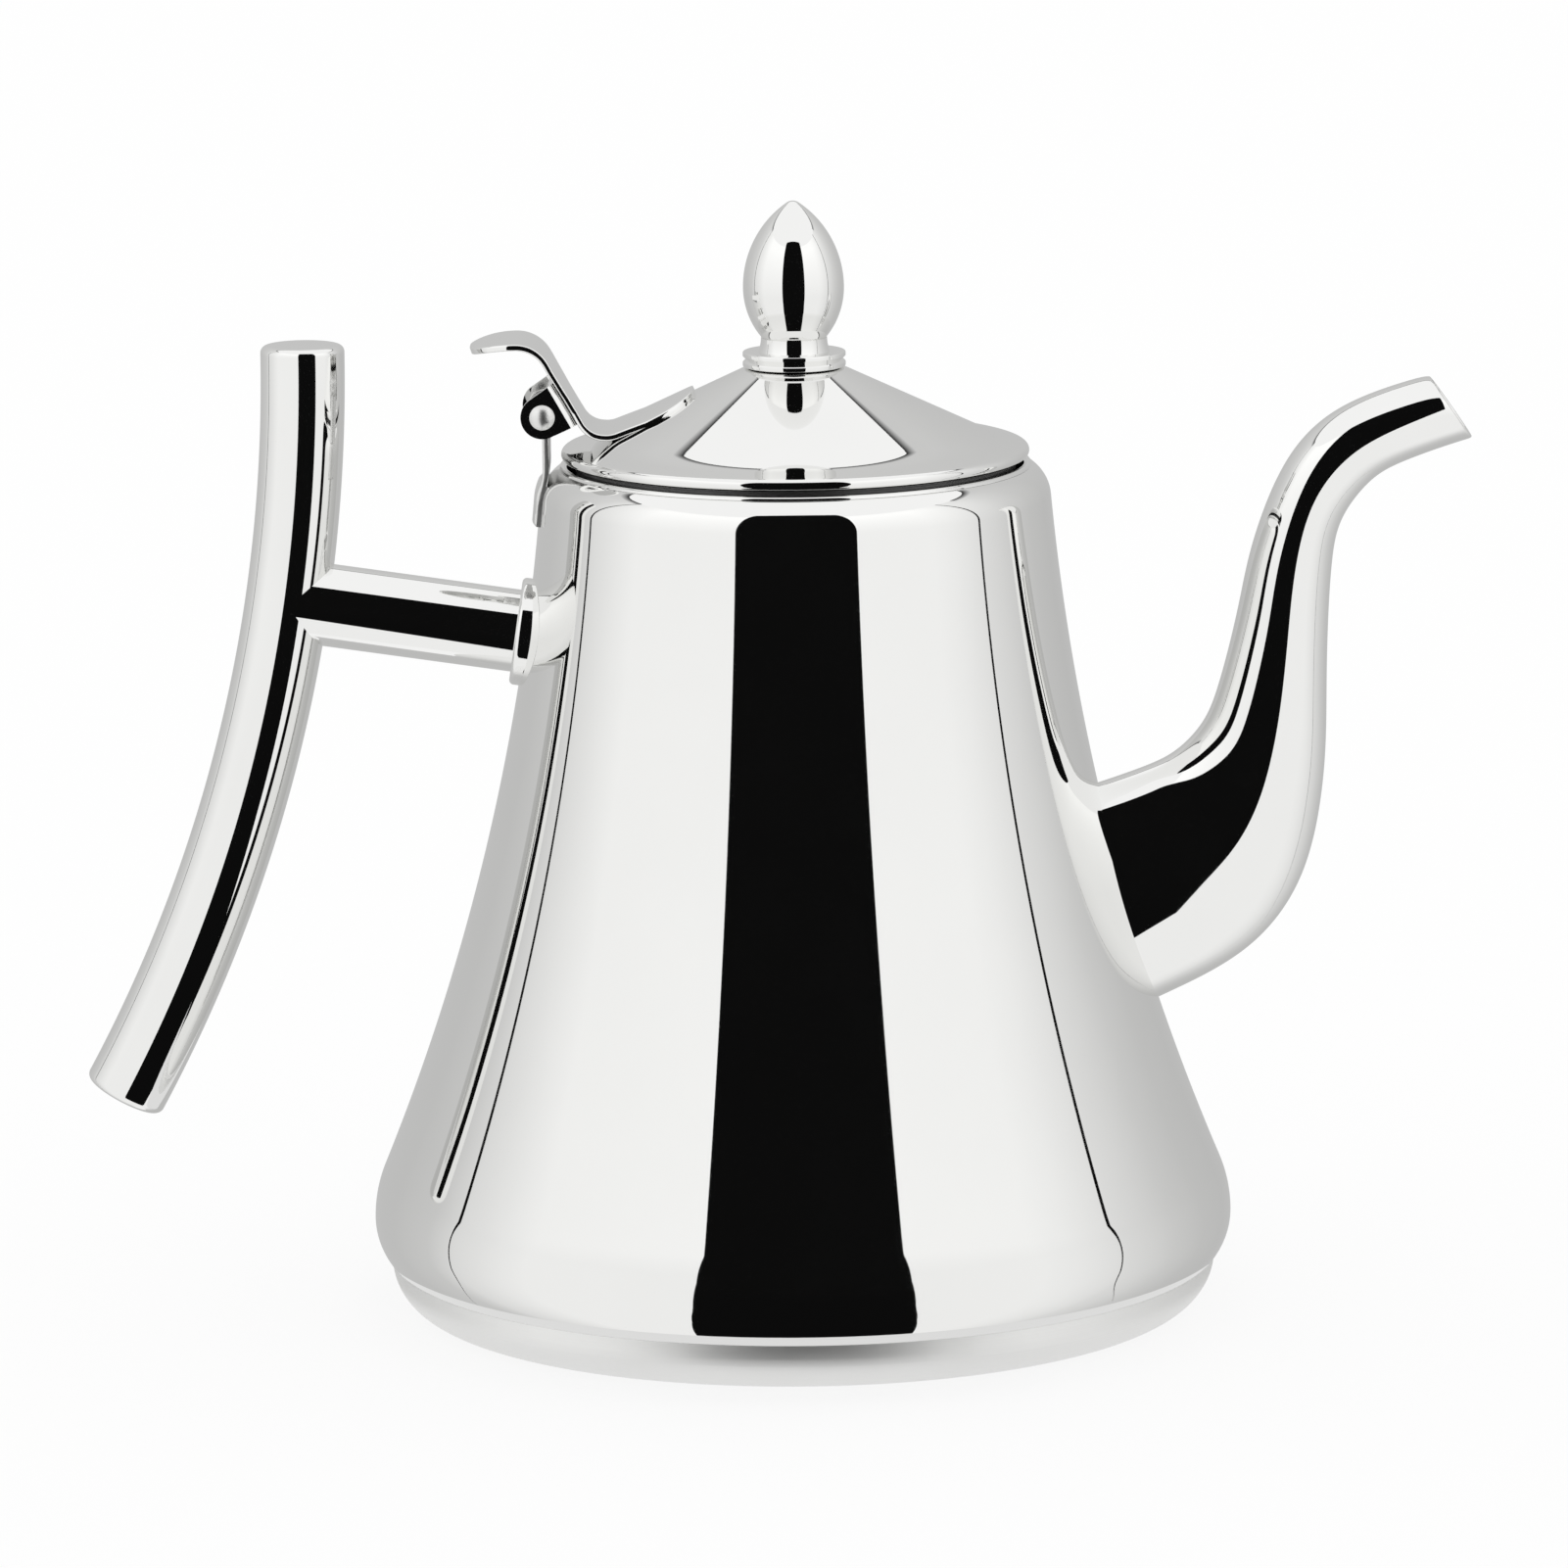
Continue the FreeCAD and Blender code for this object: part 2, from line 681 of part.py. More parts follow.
def make_grip_cap(name, across, up, angle):
    body = new_body(name)
    rim = "grip_diameter / 2"
    spigot = "grip_diameter / 2 - grip_wall - spigot_clearance"
    corners = [("0", "-grip_cap_spigot"), (spigot, "-grip_cap_spigot"), (spigot, "0"), (rim, "0"),
               (rim, "grip_cap_thickness - grip_cap_round"),
               (rim + " - grip_cap_round", "grip_cap_thickness"), ("0", "grip_cap_thickness")]
    edges = [None, None, None, None, ("grip_cap_round", "left"), None]
    revolve(body, name + "_turned", closed(run(corners, edges)))
    place(body, across, up, Vector(0, 1, 0), angle)
    return body


def make_flange(wall):
    body = new_body("flange_disc")
    rim = "flange_diameter / 2"
    corners = [("0", "-flange_diameter / 4"), (rim, "-flange_diameter / 4"),
               (rim, "flange_thickness - flange_round"),
               (rim + " - flange_round", "flange_thickness"), ("0", "flange_thickness")]
    edges = [None, None, ("flange_round", "left"), None]
    revolve(body, "flange_turned", closed(run(corners, edges)))
    place(body, "-arm_wall_x", "arm_height", Vector(0, 1, 0), "arm_rise - 90")
    return cut("handle_flange", body, wall)


def make_arm(grip_bar):
    tubes = []
    for name, radius in (("arm_bar", "arm_diameter / 2"),
                         ("arm_bore", "arm_diameter / 2 - arm_wall")):
        tube = primitive("Cylinder", name, Radius=radius, Height="arm_length")
        place(tube, "arm_x", "arm_z", Vector(0, 1, 0), "arm_rise - 90")
        tubes.append(tube)
    tube = cut("arm_tube", tubes[0], tubes[1])
    return cut("handle_arm", tube, grip_bar)


# Lid

def lid_run(inset):
    """Walk down the lid's outline from its flat top to the rim, at a depth below its face."""
    corners = [
        ("lid_flat - %s * tan(cone_slope / 2)" % inset, "lid_top - %s" % inset),
        ("cone_foot - foot_run * cos(cone_slope) - %s * sin(cone_slope)" % inset,
         "foot_z + foot_run * sin(cone_slope) - %s * cos(cone_slope)" % inset),
        ("cone_foot + foot_run * cos(brim_slope) - %s * sin(brim_slope)" % inset,
         "foot_z - foot_run * sin(brim_slope) - %s * cos(brim_slope)" % inset),
        ("brim_x - %s * sin(brim_slope)" % inset, "brim_z - %s * cos(brim_slope)" % inset),
    ]
    return run(corners, [None, ("brim_bend + %s" % inset, "left"), None])


def make_lid_shell():
    body = new_body("lid_shell")
    top = run([("screw_bore", "lid_top")], [])
    under = run([("screw_bore", "lid_under")], [])
    revolve(body, "lid_sheet", closed(top, lid_run("0"), backwards(lid_run("lid_wall")), under))
    revolve_ring(body, "lid_rim", ("rim_x", "rim_z"), "lid_rim_wire")
    return body


def lid_solid(name):
    """Make the solid under the lid's upper face, which trims the lever's tongue."""
    body = new_body(name)
    revolve(body, name + "_turned",
            closed(lid_run("0"), straight(("brim_x", "rim_z"), ("0", "rim_z"), ("0", "lid_top"))))
    return body


def make_lid_skirt():
    body = new_body("lid_skirt")
    inner = "skirt_radius - skirt_wall"
    inner_top = "skirt_top_z + skirt_wall * tan(brim_slope)"
    outline = closed(straight(("skirt_radius", "skirt_bottom"), ("skirt_radius", "skirt_top_z"),
                              (inner, inner_top), (inner, "skirt_bottom")))
    revolve(body, "skirt", outline)
    return body


# Hinge

def make_hinge_bracket(wall):
    eye = cross_rod("eye_barrel", "eye_radius", "bracket_width", "pin_x", "pin_z")
    stem = primitive("Box", "bracket_stem", Length="bracket_plate", Width="bracket_width",
                     Height="pin_z - neck_height")
    place(stem, "pin_x - bracket_plate / 2", "neck_height")
    stem.setExpression("Placement.Base.y", bound("-bracket_width / 2"))
    saddle = wall_solid("saddle_outline", "-bracket_foot")
    window = primitive("Box", "saddle_window", Length="belly_radius", Width="bracket_width",
                       Height="bracket_foot_height + bracket_foot_top")
    place(window, "-belly_radius", "neck_height - bracket_foot_height")
    window.setExpression("Placement.Base.y", bound("-bracket_width / 2"))
    foot = common("bracket_saddle", saddle, window)
    blank = fuse("bracket_blank", [eye, stem, foot])
    trimmed = cut("bracket_trimmed", blank, wall)
    bore = cross_rod("eye_bore", "pin_radius + pin_clearance", "ear_span", "pin_x", "pin_z")
    return cut("hinge_bracket", trimmed, bore)


def make_hinge_pin():
    body = new_body("hinge_pin")
    rise = "rivet_dome"
    half = "ear_span / 2"
    dome = "(rivet_dome^2 + (rivet_head / 2)^2) / (2 * rivet_dome)"
    corners = [("0", "-%s - %s" % (half, rise)), ("rivet_head / 2", "-" + half),
               ("pin_radius", "-" + half), ("pin_radius", half), ("rivet_head / 2", half),
               ("0", "%s + %s" % (half, rise))]
    edges = [(dome, "left"), None, None, None, (dome, "left")]
    revolve(body, "rivet", closed(run(corners, edges)))
    place(body, "pin_x", "pin_z", Vector(1, 0, 0), "90")
    return body


def tangent_point(corner, hand):
    """Return the place where a line from a corner touches the round of the ear."""
    off_x = "(%s - pin_x)" % corner[0]
    off_z = "(%s - pin_z)" % corner[1]
    square = "(%s^2 + %s^2)" % (off_x, off_z)
    lever = "ear_radius * sqrt(%s - ear_radius^2) / %s" % (square, square)
    share = "ear_radius^2 / %s" % square
    return ("pin_x + %s * %s - %d * %s * %s" % (share, off_x, hand, lever, off_z),
            "pin_z + %s * %s + %d * %s * %s" % (share, off_z, hand, lever, off_x))


def make_lid_hinge_bracket():
    body = new_body("lid_hinge_bracket")
    high = ("web_x - ear_reach_up * cos(lever_slope)", "web_z + ear_reach_up * sin(lever_slope)")
    low = ("web_x + ear_reach_down * cos(lever_slope)",
           "web_z - ear_reach_down * sin(lever_slope)")
    ear = run([high, tangent_point(high, 1), tangent_point(low, -1), low],
              [None, ("ear_radius", "left"), None])
    blank = outline_sketch(body, "ear_outline", "XZ_Plane", closed(ear))
    symmetric(body, "Pad", "ear_blank", blank, "ear_span")
    inner_x = "web_x - ear_plate * sin(lever_slope)"
    inner_z = "web_z - ear_plate * cos(lever_slope)"
    room = "3 * (ear_radius + lever_offset)"
    slot = []
    for up, out in ((1, 0), (1, 1), (-1, 1), (-1, 0)):
        slot.append(("%s - %s * (%d * cos(lever_slope) + %d * sin(lever_slope))"
                     % (inner_x, room, up, out),
                     "%s + %s * (%d * sin(lever_slope) - %d * cos(lever_slope))"
                     % (inner_z, room, up, out)))
    gap = outline_sketch(body, "ear_gap_outline", "XZ_Plane", closed(straight(*slot)))
    hollow = symmetric(body, "Pocket", "ear_gap", gap, "ear_span - 2 * ear_plate")
    doc.recompute()
    fold = body.newObject("PartDesign::Fillet", "ear_folds")
    fold.Base = (hollow, fold_edges(hollow.Shape))
    fold.setExpression("Radius", bound("ear_fold"))
    hole = circle_sketch(body, "ear_hole_outline", "XZ_Plane",
                         [(("pin_x", "pin_z"), "pin_radius + ear_clearance")])
    symmetric(body, "Pocket", "ear_holes", hole, "2 * ear_span")
    return body


def fold_edges(shape):
    """Name the two outer edges along which the ears turn into the web."""
    slope = math.radians(size("lever_slope"))
    square = Vector(math.sin(slope), 0, math.cos(slope))
    level = size("rise_level")
    half = size("ear_span") / 2
    names = []
    for number, edge in enumerate(shape.Edges, start=1):
        ends = [vertex.Point for vertex in edge.Vertexes]
        on_web = all(abs(point.dot(square) - level) < NEAR for point in ends)
        on_side = all(abs(abs(point.y) - half) < NEAR for point in ends)
        if on_web and on_side and abs(ends[0].y - ends[-1].y) < NEAR:
            names.append("Edge%d" % number)
    return names


def lever_run(lift):
    """Walk along the lever from the tongue's end to the thumb rest, at a height in the plate."""
    along_x = "(low_run - %s * tan((lever_slope + cone_slope) / 2))" % lift
    curl_run = "(high_run + %s * tan(lever_slope / 2))" % lift
    low_x = "(low_x + %s * (cos(cone_slope) - cos(lever_slope)) / corner_sine)" % lift
    low_z = "(low_z + %s * (sin(lever_slope) + sin(cone_slope)) / corner_sine)" % lift
    high_x = "(high_x + %s * tan(lever_slope / 2))" % lift
    high_z = "(curl_z + %s)" % lift
    end_z = "low_z + (-tongue_end - low_x) * tan(cone_slope)"
    corners = [
        ("-tongue_end - %s * sin(cone_slope)" % lift, "%s + %s * cos(cone_slope)" % (end_z, lift)),
        ("%s + %s * cos(cone_slope)" % (low_x, along_x),
         "%s + %s * sin(cone_slope)" % (low_z, along_x)),
        ("%s - %s * cos(lever_slope)" % (low_x, along_x),
         "%s + %s * sin(lever_slope)" % (low_z, along_x)),
        ("%s + %s * cos(lever_slope)" % (high_x, curl_run),
         "%s - %s * sin(lever_slope)" % (high_z, curl_run)),
        ("rest_x", high_z),
        ("lever_tip_x - %s * droop_sine" % lift, "lever_tip_z + %s * droop_cosine" % lift),
    ]
    edges = [None, ("lever_bend + lever_plate - %s" % lift, "right"), None,
             ("lever_curl + %s" % lift, "left"), ("lever_droop + %s" % lift, "left")]
    return run(corners, edges)


def make_thumb_lever(lid_block):
    strip = new_body("lever_strip")
    side = outline_sketch(strip, "lever_side", "XZ_Plane",
                          closed(lever_run("0"), backwards(lever_run("lever_plate"))))
    symmetric(strip, "Pad", "lever_pad", side, "lever_width")
    plan = new_body("lever_plan")
    half = "lever_width / 2"
    tip = "lever_far_x"
    end = "-tongue_end"
    corners = [
        (tip + " + lever_round", "-" + half), (end + " - tongue_round", "-" + half),
        (end, "-%s + tongue_round" % half), (end, "%s - tongue_round" % half),
        (end + " - tongue_round", half), (tip + " + lever_round", half),
        (tip, "%s - lever_round" % half), (tip, "-%s + lever_round" % half),
    ]
    edges = [None, ("tongue_round", "left"), None, ("tongue_round", "left"),
             None, ("lever_round", "left"), None]
    outline = closed(run(corners, edges))
    outline[1][-1] = ("lever_round", "left")
    sketch = outline_sketch(plan, "lever_top_view", "XY_Plane", outline)
    symmetric(plan, "Pad", "lever_plan_pad", sketch, "4 * curl_z")
    rounded = common("lever_rounded", strip, plan)
    return cut("thumb_lever", rounded, lid_block)


# Knob

def make_knob_collar():
    body = new_body("knob_collar")
    groove_low = "lid_top + collar_thickness / 2 - collar_groove"
    groove_high = "lid_top + collar_thickness / 2 + collar_groove"
    edge = "collar_groove / 2"
    corners = [("screw_bore", "lid_top"), ("collar_radius - %s" % edge, "lid_top"),
               ("collar_radius", "lid_top + %s" % edge), ("collar_radius", groove_low),
               ("collar_radius - collar_groove", "lid_top + collar_thickness / 2"),
               ("collar_radius", groove_high), ("collar_radius", "collar_top - %s" % edge),
               ("collar_radius - %s" % edge, "collar_top"), ("screw_bore", "collar_top")]
    edges = [None, (edge, "left"), None, None, None, None, (edge, "left"), None]
    revolve(body, "collar", closed(run(corners, edges)))
    return body


def make_knob_ferrule():
    body = new_body("knob_ferrule")
    waist = "(ferrule_flare^2 + ferrule_height^2) / (2 * ferrule_flare)"
    corners = [("screw_bore", "collar_top"), ("ferrule_foot", "collar_top"),
               ("ferrule_radius", "finial_z"), ("screw_bore", "finial_z")]
    revolve(body, "ferrule", closed(run(corners, [None, (waist, "right"), None])))
    return body


def make_knob_finial():
    body = new_body("knob_finial")
    bore_top = "finial_z + screw_depth + screw_clearance"
    corners = [("screw_bore", "finial_z"), ("finial_base", "finial_z"),
               ("finial_radius", "finial_z + finial_widest"), ("tip_x", "finial_z + tip_z"),
               ("0", "finial_z + finial_height"), ("0", bore_top), ("screw_bore", bore_top)]
    edges = [None, ("finial_lower", "left"), ("finial_upper", "left"), ("finial_tip", "left"),
             None, None]
    revolve(body, "finial", closed(run(corners, edges)))
    return body


def make_knob_washer():
    body = new_body("knob_washer")
    outline = closed(straight(("screw_bore", "washer_bottom"), ("washer_radius", "washer_bottom"),
                              ("washer_radius", "lid_under"), ("screw_bore", "lid_under")))
    revolve(body, "washer", outline)
    return body


def make_knob_screw():
    body = new_body("screw_turned")
    head = "screw_head / 2"
    low = "washer_bottom - screw_head_height"
    crown = "screw_head_height / 2"
    corners = [("0", low), ("%s - %s" % (head, crown), low), (head, "%s + %s" % (low, crown)),
               (head, "washer_bottom"), ("screw_diameter / 2", "washer_bottom"),
               ("screw_diameter / 2", "finial_z + screw_depth"), ("0", "finial_z + screw_depth")]
    edges = [None, (crown, "left"), None, None, None, None]
    revolve(body, "screw", closed(run(corners, edges)))
    slot = primitive("Box", "screw_driver_slot", Length="screw_head + screw_slot",
                     Width="screw_slot", Height="screw_head_height / 2")
    place(slot, "-(screw_head + screw_slot) / 2", low)
    slot.setExpression("Placement.Base.y", bound("-screw_slot / 2"))
    return cut("knob_screw", body, slot)


wall_block = wall_solid("wall_block", "0")
lid_block = lid_solid("lid_block")
grip_bar = grip_solid("grip_bar", "grip_diameter / 2")
grip_bore = grip_solid("grip_bore", "grip_diameter / 2 - grip_wall")

pieces = {
    "body_shell": make_body_shell(),
    "bottom_pan": make_bottom_pan(),
    "base_core": make_base_core(),
    "base_cap": make_base_cap(),
    "spout": make_spout(wall_block),
    "handle_grip": cut("handle_grip", grip_bar, grip_bore),
    "handle_top_cap": make_grip_cap("handle_top_cap", "-grip_reach", "grip_z", "0"),
    "handle_bottom_cap": make_grip_cap("handle_bottom_cap", "grip_end_x", "grip_end_z",
                                       "180 + grip_turn"),
    "handle_arm": make_arm(grip_bar),
    "handle_flange": make_flange(wall_block),
    "hinge_bracket": make_hinge_bracket(wall_block),
    "hinge_pin": make_hinge_pin(),
    "lid_shell": make_lid_shell(),
    "lid_skirt": make_lid_skirt(),
    "lid_hinge_bracket": make_lid_hinge_bracket(),
    "thumb_lever": make_thumb_lever(lid_block),
    "knob_collar": make_knob_collar(),
    "knob_ferrule": make_knob_ferrule(),
    "knob_finial": make_knob_finial(),
    "knob_washer": make_knob_washer(),
    "knob_screw": make_knob_screw(),
}

doc.recompute()
for item in doc.Objects:
    if "Invalid" in item.State or "Error" in item.State:
        raise RuntimeError("%s did not compute" % item.Name)
for label, item in pieces.items():
    item.Label = label
    if item.Shape.isNull() or not item.Shape.isValid():
        raise RuntimeError("%s has no valid shape" % label)
    if len(item.Shape.Solids) != 1:
        raise RuntimeError("%s has %d solids" % (label, len(item.Shape.Solids)))

os.makedirs("parts", exist_ok=True)
for label, item in pieces.items():
    item.Shape.exportStep(os.path.join("parts", label + ".step"))
    print("%-18s %10.1f mm3" % (label, item.Shape.Volume))
print("pin axis at x %.3f z %.3f" % (size("pin_x"), size("pin_z")))
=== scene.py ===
import math
import bpy
import numpy as np
from mathutils import Matrix, Vector


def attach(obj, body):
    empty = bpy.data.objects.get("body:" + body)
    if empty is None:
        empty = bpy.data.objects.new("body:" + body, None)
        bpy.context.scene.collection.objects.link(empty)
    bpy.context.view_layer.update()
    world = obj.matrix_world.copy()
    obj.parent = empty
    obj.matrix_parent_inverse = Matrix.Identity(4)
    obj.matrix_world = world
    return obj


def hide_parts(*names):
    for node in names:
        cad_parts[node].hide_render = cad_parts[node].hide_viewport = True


# A gooseneck kettle of polished steel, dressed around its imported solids.
# Lengths in the dictionaries are millimetres and angles are degrees; meshes are in metres.
mm = 0.001
samePlace = 1e-6  # points nearer to each other than this are one point
sharpAngle = 35.0  # an edge that turns more than this is shaded as a crease
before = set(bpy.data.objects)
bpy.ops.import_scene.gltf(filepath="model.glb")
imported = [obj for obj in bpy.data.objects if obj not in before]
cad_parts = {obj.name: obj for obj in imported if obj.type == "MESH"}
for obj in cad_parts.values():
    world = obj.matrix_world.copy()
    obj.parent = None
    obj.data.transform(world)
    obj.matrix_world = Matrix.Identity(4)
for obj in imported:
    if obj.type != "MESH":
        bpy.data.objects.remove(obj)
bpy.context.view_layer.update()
print("frame loaded:", len(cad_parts), "nodes")


# Mesh helpers: a solid is a pair, points and groups of faces

def sine(angle):
    # sine of degrees
    return math.sin(math.radians(angle))


def cosine(angle):
    # cosine of degrees
    return math.cos(math.radians(angle))


def tangent(angle):
    # tangent of degrees
    return math.tan(math.radians(angle))


def aroundCircle(count):
    # angles in radians, at even steps once round
    return np.linspace(0, 2 * math.pi, count, endpoint=False)


def arc(centre, radius, start, end, count):
    # points on a circle: centre + radius * (cos, sin) of an angle that runs evenly from start to end
    turn = np.radians(np.linspace(start, end, count))
    return np.stack([centre[0] + radius * np.cos(turn), centre[1] + radius * np.sin(turn)], 1)


def line(start, end, count):
    # points at even steps on the straight run between two corners
    share = np.linspace(0, 1, count)[:, None]
    return np.asarray(start, float) * (1 - share) + np.asarray(end, float) * share


def runLength(points):
    # distance along a run of points from its first one
    return np.concatenate([[0], np.cumsum(np.linalg.norm(np.diff(points, axis=0), axis=1))])


def apart(marks, least):
    # which marks lie further than the least step after the one before
    return np.concatenate([[True], np.diff(marks) > least])


def chain(*runs):
    # runs joined end to end, with repeated points dropped
    points = np.concatenate([np.asarray(run, float) for run in runs])
    return points[apart(runLength(points), samePlace)]


def gridPoints(x, y, z):
    # three coordinates, each stretched over the same grid
    return np.stack(np.broadcast_arrays(x, y, z), -1)


def gridFaces(rows, columns, closeRows, closeColumns):
    # quads between neighbouring rows and columns of a grid of points, wrapped where it is closed
    i = np.arange(rows if closeRows else rows - 1)[:, None]
    j = np.arange(columns if closeColumns else columns - 1)[None, :]
    below, beside = (i + 1) % rows, (j + 1) % columns
    quads = np.stack([i * columns + j, i * columns + beside,
                      below * columns + beside, below * columns + j], -1)
    return quads.reshape(-1, 4)


def closedGrid(rows):
    # loops of points joined in order, the last to the first
    return rows.reshape(-1, 3), [gridFaces(*rows.shape[:2], True, True)]


def fannedGrid(rows, ends):
    # loops of points joined in order, the first and the last by a fan of triangles to an end point
    loops, count = rows.shape[:2]
    j = np.arange(count)
    beside = (j + 1) % count
    last, low = (loops - 1) * count, loops * count
    return np.concatenate([rows.reshape(-1, 3), ends]), [
        gridFaces(loops, count, False, True),
        np.stack([beside, j, np.full(count, low)], -1),
        np.stack([last + j, last + beside, np.full(count, low + 1)], -1)]


def cappedTube(rows):
    # loops of points joined in order, each end closed round the mean of its loop
    return fannedGrid(rows, [rows[0].mean(0), rows[-1].mean(0)])


def turnedGrid(outline, steps, closed):
    # the outline (radius, height) turned about the axis: (r cos a, r sin a, h)
    body = outline if closed else outline[1:-1]
    r, h, turn = body[:, :1], body[:, 1:], aroundCircle(steps)
    rows = gridPoints(r * np.cos(turn), r * np.sin(turn), h)
    # an open outline starts and ends on the axis
    return closedGrid(rows) if closed else fannedGrid(rows, [(0, 0, outline[k, 1]) for k in (0, -1)])


def slab(upper, lower):
    # two grids of the same size as the skins of one solid, with a strip round their shared edge
    rows, columns = upper.shape[:2]
    points = np.concatenate([upper.reshape(-1, 3), lower.reshape(-1, 3)])
    skin, under = gridFaces(rows, columns, False, False), rows * columns
    number = np.arange(under).reshape(rows, columns)
    rim = np.concatenate([number[0, :-1], number[:-1, -1], number[-1, :0:-1], number[:0:-1, 0]])
    onward = np.roll(rim, -1)
    return points, [skin, skin[:, ::-1] + under, np.stack([onward, rim, rim + under, onward + under], -1)]


def placed(solid, angle, axis, move):
    # a solid turned about one axis through the origin, then moved
    points, faces = solid
    return points @ np.array(Matrix.Rotation(math.radians(angle), 3, axis)).T + move, faces


def turnedOut(points, faces):
    # faces reversed if the solid's signed volume, a sum over triangles, says that they point inwards
    volume = 0.0
    for group in faces:
        a = points[group[:, 0]]
        for k in range(1, group.shape[1] - 1):
            volume += np.sum(a * np.cross(points[group[:, k]], points[group[:, k + 1]]))
    return points, faces if volume > 0 else [group[:, ::-1] for group in faces]


def joined(*solids):
    # several solids as one mesh: corner numbers move on by the points before them
    points, faces, first = [], [], 0
    for solid in solids:
        somePoints, someFaces = turnedOut(*solid)
        points.append(somePoints)
        faces += [group + first for group in someFaces]
        first += len(somePoints)
    return np.concatenate(points), faces


def spline(values, marks, at):
    # cubic through the values at the marks, bending evenly, with end slopes of the outer three points
    gap = np.diff(marks)
    rise = np.diff(values, axis=0) / gap[:, None]
    count = len(marks)
    system, wanted = np.zeros((count, count)), np.zeros_like(values)
    system[0, 0] = system[-1, -1] = 1
    wanted[0] = rise[0] + (rise[0] - rise[1]) * gap[0] / (gap[0] + gap[1])
    wanted[-1] = rise[-1] + (rise[-1] - rise[-2]) * gap[-1] / (gap[-1] + gap[-2])
    for k in range(1, count - 1):
        system[k, k - 1:k + 2] = gap[k], 2 * (gap[k - 1] + gap[k]), gap[k - 1]
        wanted[k] = 3 * (gap[k] * rise[k - 1] + gap[k - 1] * rise[k])
    slope = np.linalg.solve(system, wanted)
    k = np.clip(np.searchsorted(marks, at) - 1, 0, count - 2)
    share = ((at - marks[k]) / gap[k])[:, None]
    width = gap[k][:, None]
    a, b = values[k], values[k + 1]
    return ((1 + 2 * share) * (1 - share) ** 2 * a + share * (1 - share) ** 2 * width * slope[k]
            + share ** 2 * (3 - 2 * share) * b + share ** 2 * (share - 1) * width * slope[k + 1])


def roundedCorner(before, corner, after, bend, steps, share):
    # points on the arc that rounds a corner, as large as asked or as the runs leave room for
    back, onward = before - corner, after - corner
    room = share * min(np.linalg.norm(back), np.linalg.norm(onward))
    back, onward = back / np.linalg.norm(back), onward / np.linalg.norm(onward)
    half = math.acos(np.clip(back @ onward, -1, 1)) / 2
    reach = min(bend / math.tan(half), room)
    radius = reach * math.tan(half)
    middle = (back + onward) / np.linalg.norm(back + onward)
    centre = corner + middle * radius / math.sin(half)
    first, last = corner + back * reach - centre, corner + onward * reach - centre
    turn = math.pi - 2 * half
    t = np.linspace(0, 1, steps + 1)[:, None]
    return centre + (first * np.sin((1 - t) * turn) + last * np.sin(t * turn)) / math.sin(turn)


def arcThrough(start, end, radius, side, count):
    # the short arc between two points, with its centre to the left or right of the way along
    start, end = np.asarray(start, float), np.asarray(end, float)
    chord = end - start
    across = np.array([-chord[1], chord[0]]) / np.linalg.norm(chord) * (1 if side == "left" else -1)
    centre = (start + end) / 2 + across * math.sqrt(max(radius ** 2 - chord @ chord / 4, 0))
    first = math.degrees(math.atan2(*(start - centre)[::-1]))
    last = math.degrees(math.atan2(*(end - centre)[::-1]))
    turn = (last - first + 180) % 360 - 180
    return arc(centre, radius, first, first + turn, count)


def addObject(name, data):
    # a new object in the scene
    made = bpy.data.objects.new(name, data)
    bpy.context.scene.collection.objects.link(made)
    return made


def addMesh(name, points, faces, material=None):
    # a new object with a mesh in metres, from points in millimetres and groups of faces
    mesh = bpy.data.meshes.new(name)
    corners = [face for group in faces for face in group.tolist()]
    mesh.from_pydata((points.reshape(-1, 3) * mm).tolist(), [], corners)
    if material:
        mesh.materials.append(material)
    return addObject(name, mesh)


def makePiece(name, solid, body, material, node):
    # one piece of the kettle as a smooth mesh with creases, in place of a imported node
    piece = addMesh(name, *turnedOut(*solid), material)
    piece.data.validate()
    piece.data.shade_smooth()
    piece.data.set_sharp_from_angle(angle=math.radians(sharpAngle))
    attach(piece, body)
    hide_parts(node)
    return piece


# Finishes

finishSizes = {
    "cloudScale": 38.0, "cloudDetail": 5.0, "cloudRoughness": 0.6, "cloudLow": 0.3, "cloudHigh": 0.75,
    "cloudShade": 0.965, "waveScale": 16.0, "waveDetail": 1.0, "waveDepth": 1.0,
    "grainScale": 2600.0, "grainDetail": 2.0, "grainDepth": 0.2,
}


def addNode(tree, kind, *feeds, **settings):
    # a new node; a feed goes to the input of its number, and a setting to an input or property of its name
    node = tree.nodes.new(kind)
    for key, value in [*settings.items(), *enumerate(feeds)]:
        if isinstance(value, bpy.types.NodeSocket):
            tree.links.new(value, node.inputs[key])
        elif isinstance(key, int) or key in node.inputs:
            node.inputs[key].default_value = value
        else:
            setattr(node, key, value)
    return node


def mapRange(tree, value, low, high, atLow, atHigh):
    # a value between low and high as one between atLow and atHigh
    limits = {"From Min": low, "From Max": high, "To Min": atLow, "To Max": atHigh}
    return addNode(tree, "ShaderNodeMapRange", Value=value, **limits).outputs["Result"]


